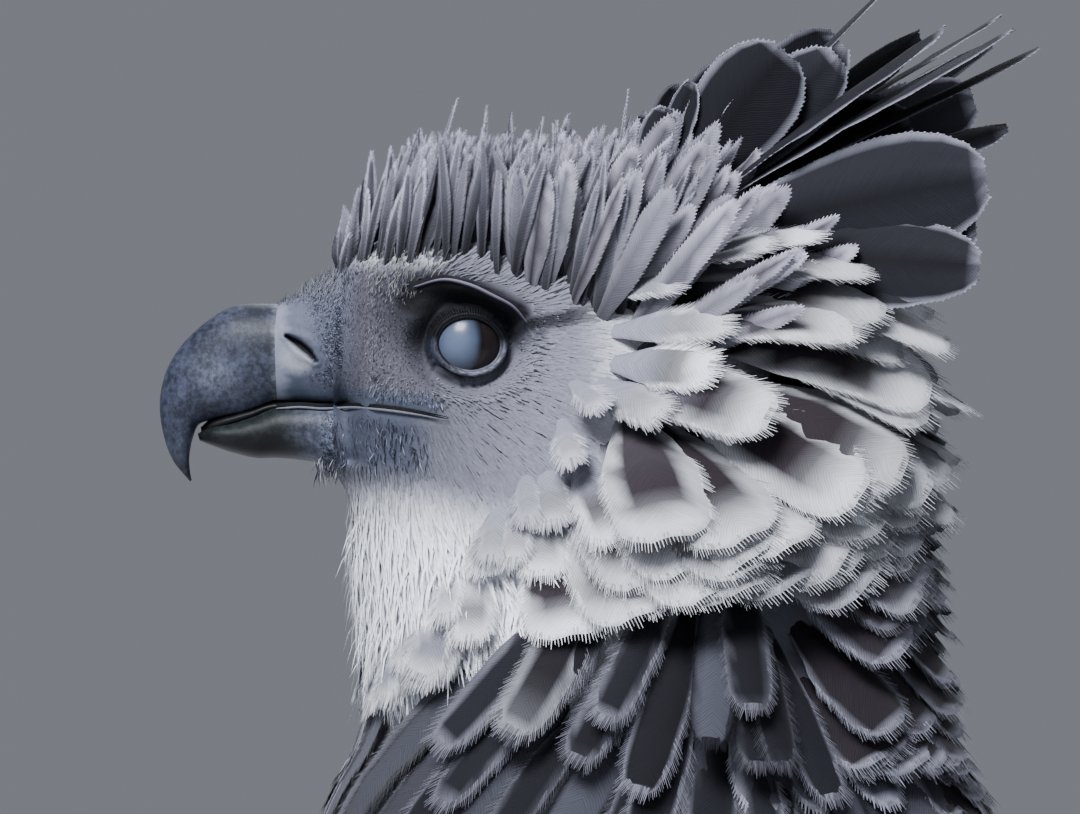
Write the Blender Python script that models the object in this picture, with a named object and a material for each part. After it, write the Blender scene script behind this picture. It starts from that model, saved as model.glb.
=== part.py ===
"""Harpy eagle, a still life-size model, standing with its head in left profile.

The bird faces -Y, its left side is +X and up is +Z. Sizes are in millimetres and
MM turns them into metres. Places along Y are measured from the eyes and heights
from the floor until the last step moves the whole bird over the origin.
"""
import math
import random

import bmesh
import bpy
import numpy as np
from mathutils import Vector
from mathutils.bvhtree import BVHTree

MM = 0.001
GAP = 0.3
EYE_HEIGHT = 700.0

# The body in sections: top y, top z, bottom y, bottom z, half width
BODY = [
    (-37.2, 719.5, -37.2, 665.5, 18.0),
    (-29.0, 727.0, -34.5, 661.0, 24.0),
    (-16.0, 733.0, -33.0, 656.0, 30.5),
    (2.0, 736.5, -32.0, 650.0, 35.0),
    (20.0, 735.5, -31.5, 643.0, 37.5),
    (39.0, 728.5, -31.0, 636.0, 40.0),
    (64.0, 714.0, -30.0, 628.0, 45.0),
    (86.0, 690.0, -28.5, 617.0, 52.0),
    (101.0, 656.0, -27.0, 603.0, 59.0),
    (113.0, 621.0, -28.5, 587.0, 66.0),
    (128.0, 584.0, -35.5, 566.0, 75.0),
    (155.0, 535.0, -43.0, 512.0, 92.0),
    (192.0, 478.0, -36.0, 446.0, 106.0),
    (227.0, 420.0, -8.0, 382.0, 110.0),
    (257.0, 368.0, 42.0, 322.0, 104.0),
    (283.0, 322.0, 104.0, 274.0, 88.0),
    (304.0, 284.0, 172.0, 240.0, 66.0),
    (321.0, 254.0, 238.0, 219.0, 44.0),
    (378.5, 191.6, 361.5, 164.4, 46.0),
    (466.4, 134.1, 451.6, 110.3, 44.0),
]
BODY_FULLNESS = 2.15
NECK_START = 6
TORSO_START = 10
TAIL_START = 17
CUT_STEP = GAP / 40.0

# The bill and cere: culmen and lower edge from the eye, then half width
UPPER_BILL = [
    (-52.3, 11.3, -52.3, -15.7, 12.2),
    (-60.9, 11.3, -60.1, -18.7, 11.2),
    (-66.7, 9.9, -65.0, -19.6, 10.3),
    (-73.6, 5.2, -70.4, -20.6, 9.0),
    (-79.3, -0.6, -74.2, -22.0, 7.7),
    (-83.2, -7.4, -75.8, -25.6, 6.3),
    (-84.9, -15.7, -76.6, -29.3, 4.9),
    (-84.0, -24.2, -76.8, -32.2, 3.4),
    (-81.3, -31.7, -76.5, -35.4, 1.9),
    (-76.6, -37.6, -76.1, -37.2, 0.5),
]
LOWER_BILL = [
    (-37.8, -17.4, -37.8, -33.0, 13.4),
    (-45.0, -17.1, -45.0, -31.8, 12.2),
    (-52.3, -17.3, -52.3, -31.1, 11.0),
    (-58.6, -19.4, -58.4, -31.1, 10.0),
    (-65.0, -21.2, -64.2, -29.8, 8.4),
    (-71.0, -22.4, -69.4, -28.1, 6.0),
    (-74.4, -24.4, -73.8, -26.4, 2.4),
]
CERE = [
    (-52.0, 11.4, -52.0, -15.8, 12.4),
    (-44.8, 14.6, -44.8, -16.3, 14.6),
    (-37.5, 19.2, -37.5, -16.6, 17.4),
]

# The eyes and what frames them, from the eye
EYE_X = 25.0
EYE_RADIUS = 11.8
LID_HALF_LENGTH = 9.8
LID_HALF_HEIGHT = 8.2
LID_RADIUS = 1.7
LID_STEPS = (12, 5)
BROW = [(-14.5, 15.5), (-6.6, 17.4), (0.5, 16.0), (7.0, 13.0), (12.5, 10.0), (16.5, 5.5)]
BROW_RADII = [1.6, 3.4, 4.0, 3.8, 3.0, 1.5]
BROW_SUNK = 0.2
LID_SUNK = 0.3
GAPE = [(-36.9, -16.8), (-31.0, -16.6), (-22.0, -17.3), (-13.0, -18.6), (-5.0, -20.2)]
GAPE_RADIUS = 0.9
NOSTRIL = [(-49.6, 2.4), (-46.4, 0.4), (-43.4, -2.0), (-41.6, -4.4)]
NOSTRIL_RADIUS = 1.0

# The crest grows from a mound that sits in a flat seat at the back of the crown
CREST_SEAT = (0.0, 43.0, 722.0)
CREST_SEAT_TILT = -33.0
CREST_MOUND_RADII = (22.0, 16.0, 10.0)

# The legs, for the left side: height, centre x, centre y, half width, half depth
THIGH = [
    (342.0, 48.0, 124.0, 30.0, 48.0),
    (305.0, 58.0, 130.0, 44.0, 62.0),
    (260.0, 70.0, 146.0, 46.0, 60.0),
    (215.0, 79.0, 162.0, 41.0, 50.0),
    (172.0, 85.0, 176.0, 32.0, 38.0),
    (132.0, 88.0, 186.0, 26.0, 29.0),
]
TARSUS = [
    (131.7, 88.0, 186.0, 20.0, 22.0),
    (118.0, 88.5, 182.0, 18.5, 20.5),
    (90.0, 90.0, 172.0, 16.0, 17.5),
    (58.0, 91.5, 160.0, 15.5, 17.0),
    (35.5, 92.0, 152.0, 17.0, 18.0),
]
SCUTE_COUNT = 6
SCUTE_HEIGHT = 9.5
SCUTE_PROUD = (1.6, 2.4)
FOOT_CENTRE = (92.0, 150.0)
FOOT_TOP = 35.2
HUB_RADIUS = 20.5
HUB_HALF_HEIGHT = 28.0
TOES = {
    "1": (183.0, 46.0, 13.5, 82.0, 9.8),
    "2": (-36.0, 62.0, 13.0, 60.0, 8.0),
    "3": (4.0, 86.0, 13.0, 58.0, 7.8),
    "4": (44.0, 66.0, 12.0, 50.0, 7.2),
}
CLAW_START_RISE = 35.0
CLAW_END_FALL = 62.0
CLAW_TIP_HEIGHT = 1.6
CLAW_TIP_RADIUS = 0.7

# The folded wing: its arm lies on the flank between a dorsal and a ventral angle
WING_ARM = [
    (10.35, 58.0, 90.0),
    (10.9, 46.0, 100.0),
    (11.6, 40.0, 104.0),
    (12.3, 38.0, 104.0),
    (13.0, 38.0, 102.0),
    (13.7, 42.0, 98.0),
]
WING_CLEARANCE = 1.2
ARM_THICKNESS = 8.0

# The primaries lie in one bundle: station, angle and lift of its middle at root and tip
PRIMARY_ROOT = (13.0, 87.0, 5.6)
PRIMARY_TIP = (18.55, 52.0, 10.8)
PRIMARY_REACH = (0.86, 0.94, 1.0, 0.98, 0.91)
PRIMARY_SPACING = 5.4
PRIMARY_LAYER = 1.4
PRIMARY_WIDTH = 25.0
PRIMARY_FLAT = 0.62
PRIMARY_STEPS = (0.0, 0.22, 0.44, 0.64, 0.8, 0.88)

# The other tiers: count, station, angle and lift of the first and last feather at
# root and tip, the width, the rows of points and the roll
WING_TIERS = {
    "secondaries": (7, (12.7, 98.0, 9.6), (12.9, 52.0, 9.6),
                    (15.9, 95.0, 15.2), (16.6, 42.0, 15.2), 27.0, 5, -0.24),
    "greater coverts": (6, (12.0, 99.0, 7.6), (12.0, 54.0, 7.6),
                        (14.0, 98.0, 19.4), (14.2, 53.0, 19.4), 32.0, 4, -0.16),
    "median coverts": (5, (11.4, 97.0, 7.6), (11.4, 55.0, 7.6),
                       (12.9, 97.0, 19.6), (13.0, 54.0, 19.6), 34.0, 4, -0.16),
    "lesser coverts": (4, (10.75, 90.0, 6.5), (10.75, 58.0, 6.5),
                       (12.0, 93.0, 19.6), (12.0, 57.0, 19.6), 32.0, 4, -0.16),
    "scapulars": (3, (12.0, 40.0, 7.5), (13.0, 40.0, 7.5),
                  (14.2, 30.0, 18.5), (16.4, 32.0, 20.5), 26.0, 5, -0.1),
}
WING_VANE = 0.7

# The tail hangs behind the body; its feathers lie in layers, the middle pair on top
TAIL_ANGLE = -32.0
TAIL_LENGTH = 372.0
TAIL_ROOT = (281.0, 233.5)
TAIL_CORE_SHARE = 0.2
TAIL_FEATHERS = 12
TAIL_LAYER = 1.15
TAIL_VANE = 0.8
TAIL_FEATHER_WIDTH = 46.0
TAIL_TIP_SPREAD = 52.0
TAIL_COVERTS = 4

# The crest, front to back on each side: rise in degrees, length, width
CREST_FAN = [
    (84.0, 46.0, 15.0),
    (71.0, 61.0, 18.0),
    (57.0, 75.0, 27.0),
    (44.0, 104.0, 24.0),
    (35.0, 124.0, 22.0),
    (26.0, 108.0, 26.0),
    (16.0, 101.0, 32.0),
    (4.0, 92.0, 28.0),
]
CREST_MIDDLE = [(50.0, 112.0, 18.0), (39.0, 126.0, 18.0)]
CREST_SPACING = 1.6
CREST_VANE = 0.9

# The crown feathers stand up from the skull: rows from front to back
CROWN_ROWS = 7
CROWN_FRONT = 0.3
CROWN_BACK = 4.1
CROWN_ANGLES = (-46.0, -16.0, 16.0, 46.0)
CROWN_LENGTH = 31.0
CROWN_WIDTH = 12.0

# The ruff: root station, first angle from the top, count on each side, rise of the tips
RUFF_ROWS = [
    (6.2, 38.0, 4, 0.95),
    (6.9, 14.0, 5, 0.9),
    (7.6, 28.0, 4, 0.68),
    (8.3, 14.0, 5, 0.52),
    (9.0, 28.0, 4, 0.47),
]
RUFF_LAST_ANGLE = 138.0
RUFF_LENGTH = 62.0
RUFF_WIDTH = 34.0
RUFF_LIFT_NAPE = 40.0
RUFF_LIFT_SIDE = 19.0
RUFF_VANE = 0.9
RUFF_LAST_TIP = 10.5

# The trousers hang round the heel
TROUSER_COUNT = 8
TROUSER_WIDTH = 22.0

FEATHER_OUTLINE = (0.4, 0.85, 1.0, 0.9, 0.3)


class Form:
    """A long form through sections that each run from a top to a bottom point."""

    def __init__(self, rows, fullness=2.0, raised=0.0):
        self.rows = np.array(rows, float)
        self.rows[:, 1] += raised
        self.rows[:, 3] += raised
        self.power = 2.0 / fullness

    def row(self, place):
        return smooth_value(self.rows, place)

    def point(self, place, angle, lift=0.0):
        """Surface point at a station and an angle from the top towards +X."""
        base = self.bare_point(place, angle)
        if lift:
            base = base + lift * self.normal(place, angle)
        return base

    def bare_point(self, place, angle):
        top_y, top_z, low_y, low_z, half = self.row(place)
        rise = signed_power(math.cos(angle), self.power)
        reach = signed_power(math.sin(angle), self.power)
        return np.array([
            half * reach,
            0.5 * (top_y + low_y) + 0.5 * (top_y - low_y) * rise,
            0.5 * (top_z + low_z) + 0.5 * (top_z - low_z) * rise,
        ])

    def normal(self, place, angle):
        step = 0.02
        last = len(self.rows) - 1
        ahead = self.bare_point(min(place + step, last), angle)
        behind = self.bare_point(max(place - step, 0.0), angle)
        around = self.bare_point(place, angle + step) - self.bare_point(place, angle - step)
        return unit(np.cross(around, ahead - behind))

    def mesh(self, start, end, rings, sides):
        """Rings between two stations, closed by flat ends."""
        angles = [2 * math.pi * k / sides for k in range(sides)]
        places = np.linspace(start, end, rings)
        return ring_mesh([[self.bare_point(p, a) for a in angles] for p in places])


def signed_power(value, power):
    return math.copysign(abs(value) ** power, value)


def unit(vector):
    return np.asarray(vector, float) / max(np.linalg.norm(vector), 1e-9)


def smooth_value(values, place):
    """Value at a place along one smooth curve through evenly counted values."""
    values = np.asarray(values, float)
    last = len(values) - 1
    place = min(max(place, 0.0), float(last))
    k = min(int(place), last - 1)
    f = place - k
    before = values[k - 1] if k > 0 else 2 * values[0] - values[1]
    after = values[k + 2] if k + 2 <= last else 2 * values[last] - values[last - 1]
    a, b = values[k], values[k + 1]
    return 0.5 * (2 * a + (b - before) * f + (2 * before - 5 * a + 4 * b - after) * f ** 2
                  + (3 * a - before - 3 * b + after) * f ** 3)


def smooth_run(values, count):
    last = len(values) - 1
    return np.array([smooth_value(values, last * k / (count - 1)) for k in range(count)])


def ring_mesh(rings):
    """Closed mesh over rings of points, with a flat face at each end."""
    sides = len(rings[0])
    verts = [p for ring in rings for p in ring]
    faces = []
    for r in range(len(rings) - 1):
        low = r * sides
        for k in range(sides):
            n = (k + 1) % sides
            faces.append((low + k, low + n, low + sides + n, low + sides + k))
    faces.append(tuple(range(sides)))
    faces.append(tuple(range(len(verts) - sides, len(verts))))
    return verts, faces


def tube_mesh(points, radii, sides):
    """Round rings square to a path."""
    points = [np.asarray(p, float) for p in points]
    rings = []
    across = np.array([1.0, 0.0, 0.0])
    for k, centre in enumerate(points):
        ahead = unit(points[min(k + 1, len(points) - 1)] - points[max(k - 1, 0)])
        across = unit(across - np.dot(across, ahead) * ahead)
        second = np.cross(ahead, across)
        ring = []
        for s in range(sides):
            turn = 2 * math.pi * s / sides
            ring.append(centre + radii[k] * (math.cos(turn) * across + math.sin(turn) * second))
        rings.append(ring)
    return ring_mesh(rings)


def stack_mesh(levels, sides, mirror, count):
    """Level rings one over another, from height, centre and half sizes."""
    rings = []
    for z, x, y, half_x, half_y in smooth_run(levels, count):
        turns = [2 * math.pi * k / sides for k in range(sides)]
        rings.append([(mirror * (x + half_x * math.cos(t)), y + half_y * math.sin(t), z)
                      for t in turns])
    return ring_mesh(rings)


def material(name, colour, roughness, metallic=0.0):
    paint = bpy.data.materials.new(name)
    paint.use_nodes = True
    shader = paint.node_tree.nodes["Principled BSDF"]
    shader.inputs["Base Color"].default_value = (*colour, 1.0)
    shader.inputs["Roughness"].default_value = roughness
    shader.inputs["Metallic"].default_value = metallic
    return paint


def add_object(name, shape, collection, paint=None):
    """Object from points in millimetres, its faces turned outwards."""
    verts, faces = shape
    mesh = bpy.data.meshes.new(name)
    mesh.from_pydata([tuple(MM * float(c) for c in v) for v in verts], [], faces)
    bm = bmesh.new()
    bm.from_mesh(mesh)
    bmesh.ops.recalc_face_normals(bm, faces=bm.faces)
    bm.to_mesh(mesh)
    bm.free()
    obj = bpy.data.objects.new(name, mesh)
    if paint:
        mesh.materials.append(paint)
    collection.objects.link(obj)
    return obj


def combine(target, pieces, operation, solver):
    """One Boolean between the target and a group of closed pieces, applied."""
    group = bpy.data.collections.new(f"{target.name}_{operation.lower()}")
    bpy.context.scene.collection.children.link(group)
    for piece in pieces:
        for home in list(piece.users_collection):
            home.objects.unlink(piece)
        group.objects.link(piece)
        piece.hide_render = True
        piece.display_type = "WIRE"
    change = target.modifiers.new("change", "BOOLEAN")
    change.operation = operation
    change.operand_type = "COLLECTION"
    change.collection = group
    change.solver = solver
    bpy.context.view_layer.update()
    graph = bpy.context.evaluated_depsgraph_get()
    made = bpy.data.meshes.new_from_object(target.evaluated_get(graph))
    target.modifiers.clear()
    old = target.data
    made.name = old.name
    target.data = made
    bpy.data.meshes.remove(old)
    for piece in pieces:
        bpy.data.objects.remove(piece)
    bpy.data.collections.remove(group)
    keep_largest(target)


def fuse(target, pieces, solver="EXACT"):
    combine(target, pieces, "UNION", solver)


def carve(target, pieces, solver="EXACT"):
    combine(target, pieces, "DIFFERENCE", solver)


def keep_largest(obj):
    """Drops every closed surface of a mesh but its largest."""
    bm = bmesh.new()
    bm.from_mesh(obj.data)
    left = set(bm.verts)
    islands = []
    while left:
        front = [left.pop()]
        island = set(front)
        while front:
            vert = front.pop()
            for edge in vert.link_edges:
                other = edge.other_vert(vert)
                if other not in island:
                    island.add(other)
                    left.discard(other)
                    front.append(other)
        islands.append(island)

    def size(island):
        return sum(f.calc_area() for f in {f for v in island for f in v.link_faces})

    largest = max(islands, key=size)
    extra = [v for v in bm.verts if v not in largest]
    bmesh.ops.delete(bm, geom=extra, context="VERTS")
    bm.to_mesh(obj.data)
    bm.free()


def swollen_copy(obj, amount, collection):
    """Copy of an object, its surface moved outwards."""
    mesh = obj.data.copy()
    bm = bmesh.new()
    bm.from_mesh(mesh)
    bm.normal_update()
    moves = [v.normal * amount * MM for v in bm.verts]
    for vert, move in zip(bm.verts, moves):
        vert.co += move
    bm.to_mesh(mesh)
    bm.free()
    copy = bpy.data.objects.new(obj.name + "_room", mesh)
    collection.objects.link(copy)
    return copy


def ball(name, centre, radii, collection, tilt=0.0, segments=20, rings=12, paint=None):
    """Ellipsoid, tilted about X."""
    bm = bmesh.new()
    bmesh.ops.create_uvsphere(bm, u_segments=segments, v_segments=rings, radius=1.0)
    turn = math.radians(tilt)
    for vert in bm.verts:
        x, y, z = (vert.co[k] * radii[k] for k in range(3))
        vert.co = (
            MM * (centre[0] + x),
            MM * (centre[1] + y * math.cos(turn) - z * math.sin(turn)),
            MM * (centre[2] + y * math.sin(turn) + z * math.cos(turn)),
        )
    mesh = bpy.data.meshes.new(name)
    bm.to_mesh(mesh)
    bm.free()
    obj = bpy.data.objects.new(name, mesh)
    if paint:
        mesh.materials.append(paint)
    collection.objects.link(obj)
    return obj


def surface_tree(obj):
    bm = bmesh.new()
    bm.from_mesh(obj.data)
    tree = BVHTree.FromBMesh(bm)
    bm.free()
    return tree


def side_point(tree, y, z, side, proud=0.0):
    """Point of the surface met from one side at a place of the profile."""
    start = Vector((side * 300.0 * MM, y * MM, z * MM))
    hit = tree.ray_cast(start, Vector((-side, 0.0, 0.0)))[0]
    return np.array([hit.x / MM + side * proud, y, z])


def vane(path, normals, widths, thickness, cutters, roll=0.0):
    """One feather as a closed blade; its far edge sits higher by the roll."""
    outer, inner = [], []
    last = len(path) - 1
    for k, centre in enumerate(path):
        along = path[min(k + 1, last)] - path[max(k - 1, 0)]
        across = unit(np.cross(normals[k], along))
        out = unit(np.cross(along, across))
        deep = thickness * (1.15 - 0.45 * k / last)
        for edge in (-0.5, 0.5):
            point = centre + edge * widths[k] * (across + roll * out)
            outer.append(point + 0.5 * deep * out)
            inner.append(point - 0.5 * deep * out)
    return add_object("vane", sheet_mesh(outer, inner, 2), cutters)


def surface_vane(body, side, root, tip, lifts, width, thickness, cutters, roll=0.0):
    """A feather laid over the body from a root to a tip, each a station and an angle."""
    path, normals = [], []
    count = len(lifts)
    for k, lift in enumerate(lifts):
        t = k / (count - 1)
        place = root[0] + (tip[0] - root[0]) * t
        angle = math.radians(root[1] + (tip[1] - root[1]) * t)
        point = body.point(place, angle, lift)
        out = body.normal(place, angle)
        path.append(np.array([side * point[0], point[1], point[2]]))
        normals.append(np.array([side * out[0], out[1], out[2]]))
    widths = [width * smooth_value(FEATHER_OUTLINE, 4.0 * k / (count - 1)) for k in range(count)]
    return vane(path, normals, widths, thickness, cutters, side * roll)


def make_head(model, cutters, body, paint, draw):
    head = add_object("head", body.mesh(0, NECK_START, 13, 20), model, paint)
    tree = surface_tree(head)
    additions = []
    for side in (1, -1):
        additions.append(lid_ring(tree, side, cutters))
        path = [side_point(tree, y, EYE_HEIGHT + z, side, -BROW_SUNK) for y, z in BROW]
        shape = tube_mesh(smooth_run(path, 7), smooth_run(BROW_RADII, 7), 7)
        additions.append(add_object("brow", shape, cutters))
    fuse(head, additions)
    removals = [seat_box(1.0, -0.5 * GAP, cutters)]
    for side in (1, -1):
        removals.append(ball("socket", eye_centre(side), [EYE_RADIUS + GAP] * 3, cutters,
                             0.0, 14, 8))
        path = [side_point(tree, y, EYE_HEIGHT + z, side) for y, z in GAPE]
        path.insert(0, path[0] - np.array([0.0, 3.0, 0.0]))
        shape = tube_mesh(smooth_run(path, 6), [GAPE_RADIUS] * 6, 4)
        removals.append(add_object("gape", shape, cutters))
    carve(head, removals)
    fuse(head, crown_feathers(body, cutters, draw), "MANIFOLD")


def eye_centre(side):
    return (side * EYE_X, 0.0, EYE_HEIGHT)


def seat_box(way, height, cutters):
    """Box with one face on the crest's seat, above it or below it."""
    half = (CREST_MOUND_RADII[0] + 1.0, CREST_MOUND_RADII[1] + 1.0, 15.0)
    turn = math.radians(CREST_SEAT_TILT)
    up = np.array([0.0, -math.sin(turn), math.cos(turn)])
    centre = np.array(CREST_SEAT) + (height + way * half[2]) * up
    return box("seat_room", centre, half, cutters, CREST_SEAT_TILT)


def lid_ring(tree, side, cutters):
    """The two lids as one rim round the eye, on the skin of the face."""
    path = []
    count, sides = LID_STEPS
    for k in range(count):
        turn = 2 * math.pi * k / count
        y = LID_HALF_LENGTH * math.cos(turn)
        z = EYE_HEIGHT + LID_HALF_HEIGHT * math.sin(turn)
        path.append(side_point(tree, y, z, side, -LID_SUNK))
    rings = []
    for k in range(count):
        ahead = unit(path[(k + 1) % count] - path[k - 1])
        out = np.array([side, 0.0, 0.0])
        across = unit(np.cross(ahead, out))
        out = np.cross(across, ahead)
        rings.append([path[k] + LID_RADIUS * (math.cos(t) * across + math.sin(t) * out)
                      for t in (2 * math.pi * s / sides for s in range(sides))])
    verts = [p for ring in rings for p in ring]
    faces = []
    for r in range(count):
        n = (r + 1) % count
        for s in range(sides):
            t = (s + 1) % sides
            faces.append((sides * r + s, sides * r + t, sides * n + t, sides * n + s))
    return add_object("lids", (verts, faces), cutters)


def crown_feathers(body, cutters, draw):
    """Narrow feathers that stand up from the skull, leaning a little back."""
    feathers = []
    for row in range(CROWN_ROWS):
        place = CROWN_FRONT + (CROWN_BACK - CROWN_FRONT) * row / (CROWN_ROWS - 1)
        for column, start in enumerate(CROWN_ANGLES):
            angle = math.radians(start + 10.0 * (row % 2) - 5.0 + draw.uniform(-3.0, 3.0))
            root = body.point(place, angle, -4.0)
            out = body.normal(place, angle)
            lean = np.array([0.25 * out[0], 0.16 + 0.3 * row / CROWN_ROWS, 0.95])
            length = CROWN_LENGTH * draw.uniform(0.86, 1.08) * (0.8 if row == 0 else 1.0)
            steps = np.linspace(0.0, 1.0, 4)
            path = [root + length * (t * unit(lean) + 0.12 * t * t * np.array([0.0, 1.0, 0.0]))
                    for t in steps]
            face = unit(np.array([1.0, draw.uniform(0.15, 0.4), 0.0]))
            widths = [CROWN_WIDTH * w for w in (0.55, 1.0, 0.85, 0.16)]
            feathers.append(vane(path, [face] * 4, widths, 0.8, cutters))
    return feathers


def make_crest(model, cutters, paint):
    """Broad feathers that fan up and back from a mound behind the crown."""
    crest = ball("crest", CREST_SEAT, CREST_MOUND_RADII, model, CREST_SEAT_TILT, 14, 8, paint)
    carve(crest, [seat_box(-1.0, 0.5 * GAP, cutters)])
    centre = np.array(CREST_SEAT)
    feathers = []
    for side in (1, -1):
        for k, (rise, length, width) in enumerate(CREST_FAN):
            turn = math.radians(rise + (1.5 if side < 0 else 0.0))
            ahead = np.array([side * (0.05 + 0.035 * k), math.cos(turn), math.sin(turn)])
            root = centre + np.array([side * (4.0 + CREST_SPACING * k), 2.0, 3.0])
            out = np.array([side, 0.0, 0.0])
            feathers.append(crest_feather(root, unit(ahead), out, length, width, cutters))
    for rise, length, width in CREST_MIDDLE:
        turn = math.radians(rise)
        ahead = np.array([0.0, math.cos(turn), math.sin(turn)])
        out = np.array([0.0, -math.sin(turn), math.cos(turn)])
        root = centre + np.array([0.0, 0.0, 3.0])
        feathers.append(crest_feather(root, ahead, out, length, width, cutters))
    fuse(crest, feathers, "MANIFOLD")
    return crest


def crest_feather(root, ahead, out, length, width, cutters):
    """A feather of the crest, drooping a little towards its tip."""
    droop = np.array([0.0, 0.02, -0.07]) * length
    path = [root + length * t * ahead + droop * t * t for t in np.linspace(0.04, 1.0, 5)]
    widths = [width * w for w in (0.34, 0.7, 0.95, 1.0, 0.4)]
    normals = []
    for k in range(5):
        along = unit(path[min(k + 1, 4)] - path[max(k - 1, 0)])
        normals.append(unit(out - np.dot(out, along) * along))
    return vane(path, normals, widths, CREST_VANE, cutters)


def make_neck(model, cutters, body, paint, draw):
    """The neck with its ruff: rows of broad feathers that stand off the nape."""
    neck = add_object("neck", body.mesh(NECK_START + CUT_STEP, TORSO_START, 7, 18), model, paint)
    feathers = []
    for place, first, count, rise in RUFF_ROWS:
        for side in (1, -1):
            for k in range(count):
                turn = first + (RUFF_LAST_ANGLE - first) * k / (count - 0.5)
                feathers.append(ruff_feather(body, side, place, turn, rise, draw, cutters))
    fuse(neck, feathers, "MANIFOLD")


def ruff_feather(body, side, place, turn, rise, draw, cutters):
    """One feather of the ruff; it stands off more at the nape than at the throat."""
    nape = max(0.0, math.cos(math.radians(turn))) ** 0.8
    lift = rise * (RUFF_LIFT_SIDE + (RUFF_LIFT_NAPE - RUFF_LIFT_SIDE) * nape)
    lift *= draw.uniform(0.92, 1.08)
    here = body.point(place, math.radians(turn))
    there = body.point(place + 1.0, math.radians(turn))
    reach = min(RUFF_LENGTH / np.linalg.norm(there - here) * (1.0 - 0.45 * nape * rise), 2.1)
    tip = (min(place + reach, RUFF_LAST_TIP), turn + 6.0 * (1.0 - nape))
    lifts = [-5.0, 0.44 * lift, 0.86 * lift, lift]
    return surface_vane(body, side, (place, turn), tip, lifts, RUFF_WIDTH, RUFF_VANE, cutters, 0.06)


def make_bill(model, cutters, horn, skin):
    upper = Form(UPPER_BILL, 2.2, EYE_HEIGHT)
    add_object("bill_upper", upper.mesh(0, len(UPPER_BILL) - 1, 15, 12), model, horn)
    lower = Form(LOWER_BILL, 2.4, EYE_HEIGHT)
    add_object("bill_lower", lower.mesh(0, len(LOWER_BILL) - 1, 10, 14), model, horn)
    cere = add_object("cere", Form(CERE, 2.2, EYE_HEIGHT).mesh(0, 2, 4, 18), model, skin)
    tree = surface_tree(cere)
    slits = []
    for side in (1, -1):
        path = [side_point(tree, y, EYE_HEIGHT + z, side) for y, z in NOSTRIL]
        shape = tube_mesh(smooth_run(path, 4), [NOSTRIL_RADIUS] * 4, 5)
        slits.append(add_object("slit", shape, cutters))
    carve(cere, slits)


def make_leg(model, cutters, side, word, torso, paints):
    thigh = add_object(f"thigh_{word}", stack_mesh(THIGH, 12, side, 7), model,
                       paints["plumage_white"])
    carve(thigh, [swollen_copy(torso, GAP * 1.3, cutters)])
    fuse(thigh, [trouser(side, k, cutters) for k in range(TROUSER_COUNT)], "MANIFOLD")
    tarsus = add_object(f"tarsus_{word}", stack_mesh(TARSUS, 12, side, 6), model,
                        paints["leg_skin"])
    fuse(tarsus, [scute(side, k, cutters) for k in range(SCUTE_COUNT)], "MANIFOLD")
    centre = (side * FOOT_CENTRE[0], FOOT_CENTRE[1])
    hub_centre = (centre[0], centre[1], 0.5 * FOOT_TOP)
    foot = ball(f"foot_{word}", hub_centre, (HUB_RADIUS, HUB_RADIUS, HUB_HALF_HEIGHT), model,
                segments=12, rings=6, paint=paints["leg_skin"])
    toes = []
    for number, (heading, length, radius, chord, claw_radius) in TOES.items():
        toe = toe_path(centre, side, heading, length, chord)
        radii = smooth_run([radius * 1.15, radius * 0.92, radius * 1.04, radius * 0.86,
                            claw_radius + 1.0], 7)
        toes.append(add_object("toe", tube_mesh(smooth_run(toe, 7), radii, 7), cutters))
        make_claw(model, side, word, number, toe, heading, chord, claw_radius, paints["claw_horn"])
    fuse(foot, toes)
    floor = box("floor_room", (centre[0], centre[1], -30.0), (200.0, 200.0, 30.0), cutters)
    above = box("ankle_room", (centre[0], centre[1], FOOT_TOP + 20.0), (30.0, 30.0, 20.0), cutters)
    carve(foot, [floor, above])


def scute(side, number, cutters):
    """A raised plate across the front of the shank, overlapping the one below."""
    last = len(TARSUS) - 1
    place = last * (0.12 + 0.76 * (number + 0.5) / SCUTE_COUNT)
    z, x, y, half_x, half_y = smooth_value(TARSUS, place)
    rings = []
    for height, proud in zip((0.5, -0.5), SCUTE_PROUD):
        level = z + height * SCUTE_HEIGHT
        ring = []
        for k in (-1.0, 0.0, 1.0):
            front = y - proud - half_y * math.sqrt(1.0 - 0.55 * k * k)
            ring.append((side * (x + 0.75 * half_x * k), front, level))
        for k in (0.5, -0.5):
            ring.append((side * (x + half_x * k), y - 0.5 * half_y, level))
        rings.append(ring)
    return add_object("scute", ring_mesh(rings), cutters)


def trouser(side, number, cutters):
    """One long feather that hangs from the thigh past the heel."""
    turn = 2 * math.pi * (number + 0.5) / TROUSER_COUNT
    path, normals = [], []
    for place, lift in ((3.3, -4.0), (4.1, 3.5), (5.0, 7.0)):
        z, x, y, half_x, half_y = smooth_value(THIGH, place)
        out = np.array([math.cos(turn) * half_y, math.sin(turn) * half_x, 0.0])
        out = unit(out)
        path.append(np.array([side * (x + half_x * math.cos(turn) + lift * out[0]),
                              y + half_y * math.sin(turn) + lift * out[1], z]))
        normals.append(np.array([side * out[0], out[1], 0.0]))
    path.append(path[-1] + np.array([0.0, -3.0, -18.0 - 6.0 * (number % 2)]))
    normals.append(normals[-1])
    widths = [TROUSER_WIDTH * w for w in (0.6, 1.0, 0.95, 0.25)]
    return vane(path, normals, widths, 0.8, cutters, 0.06 * side)


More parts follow.
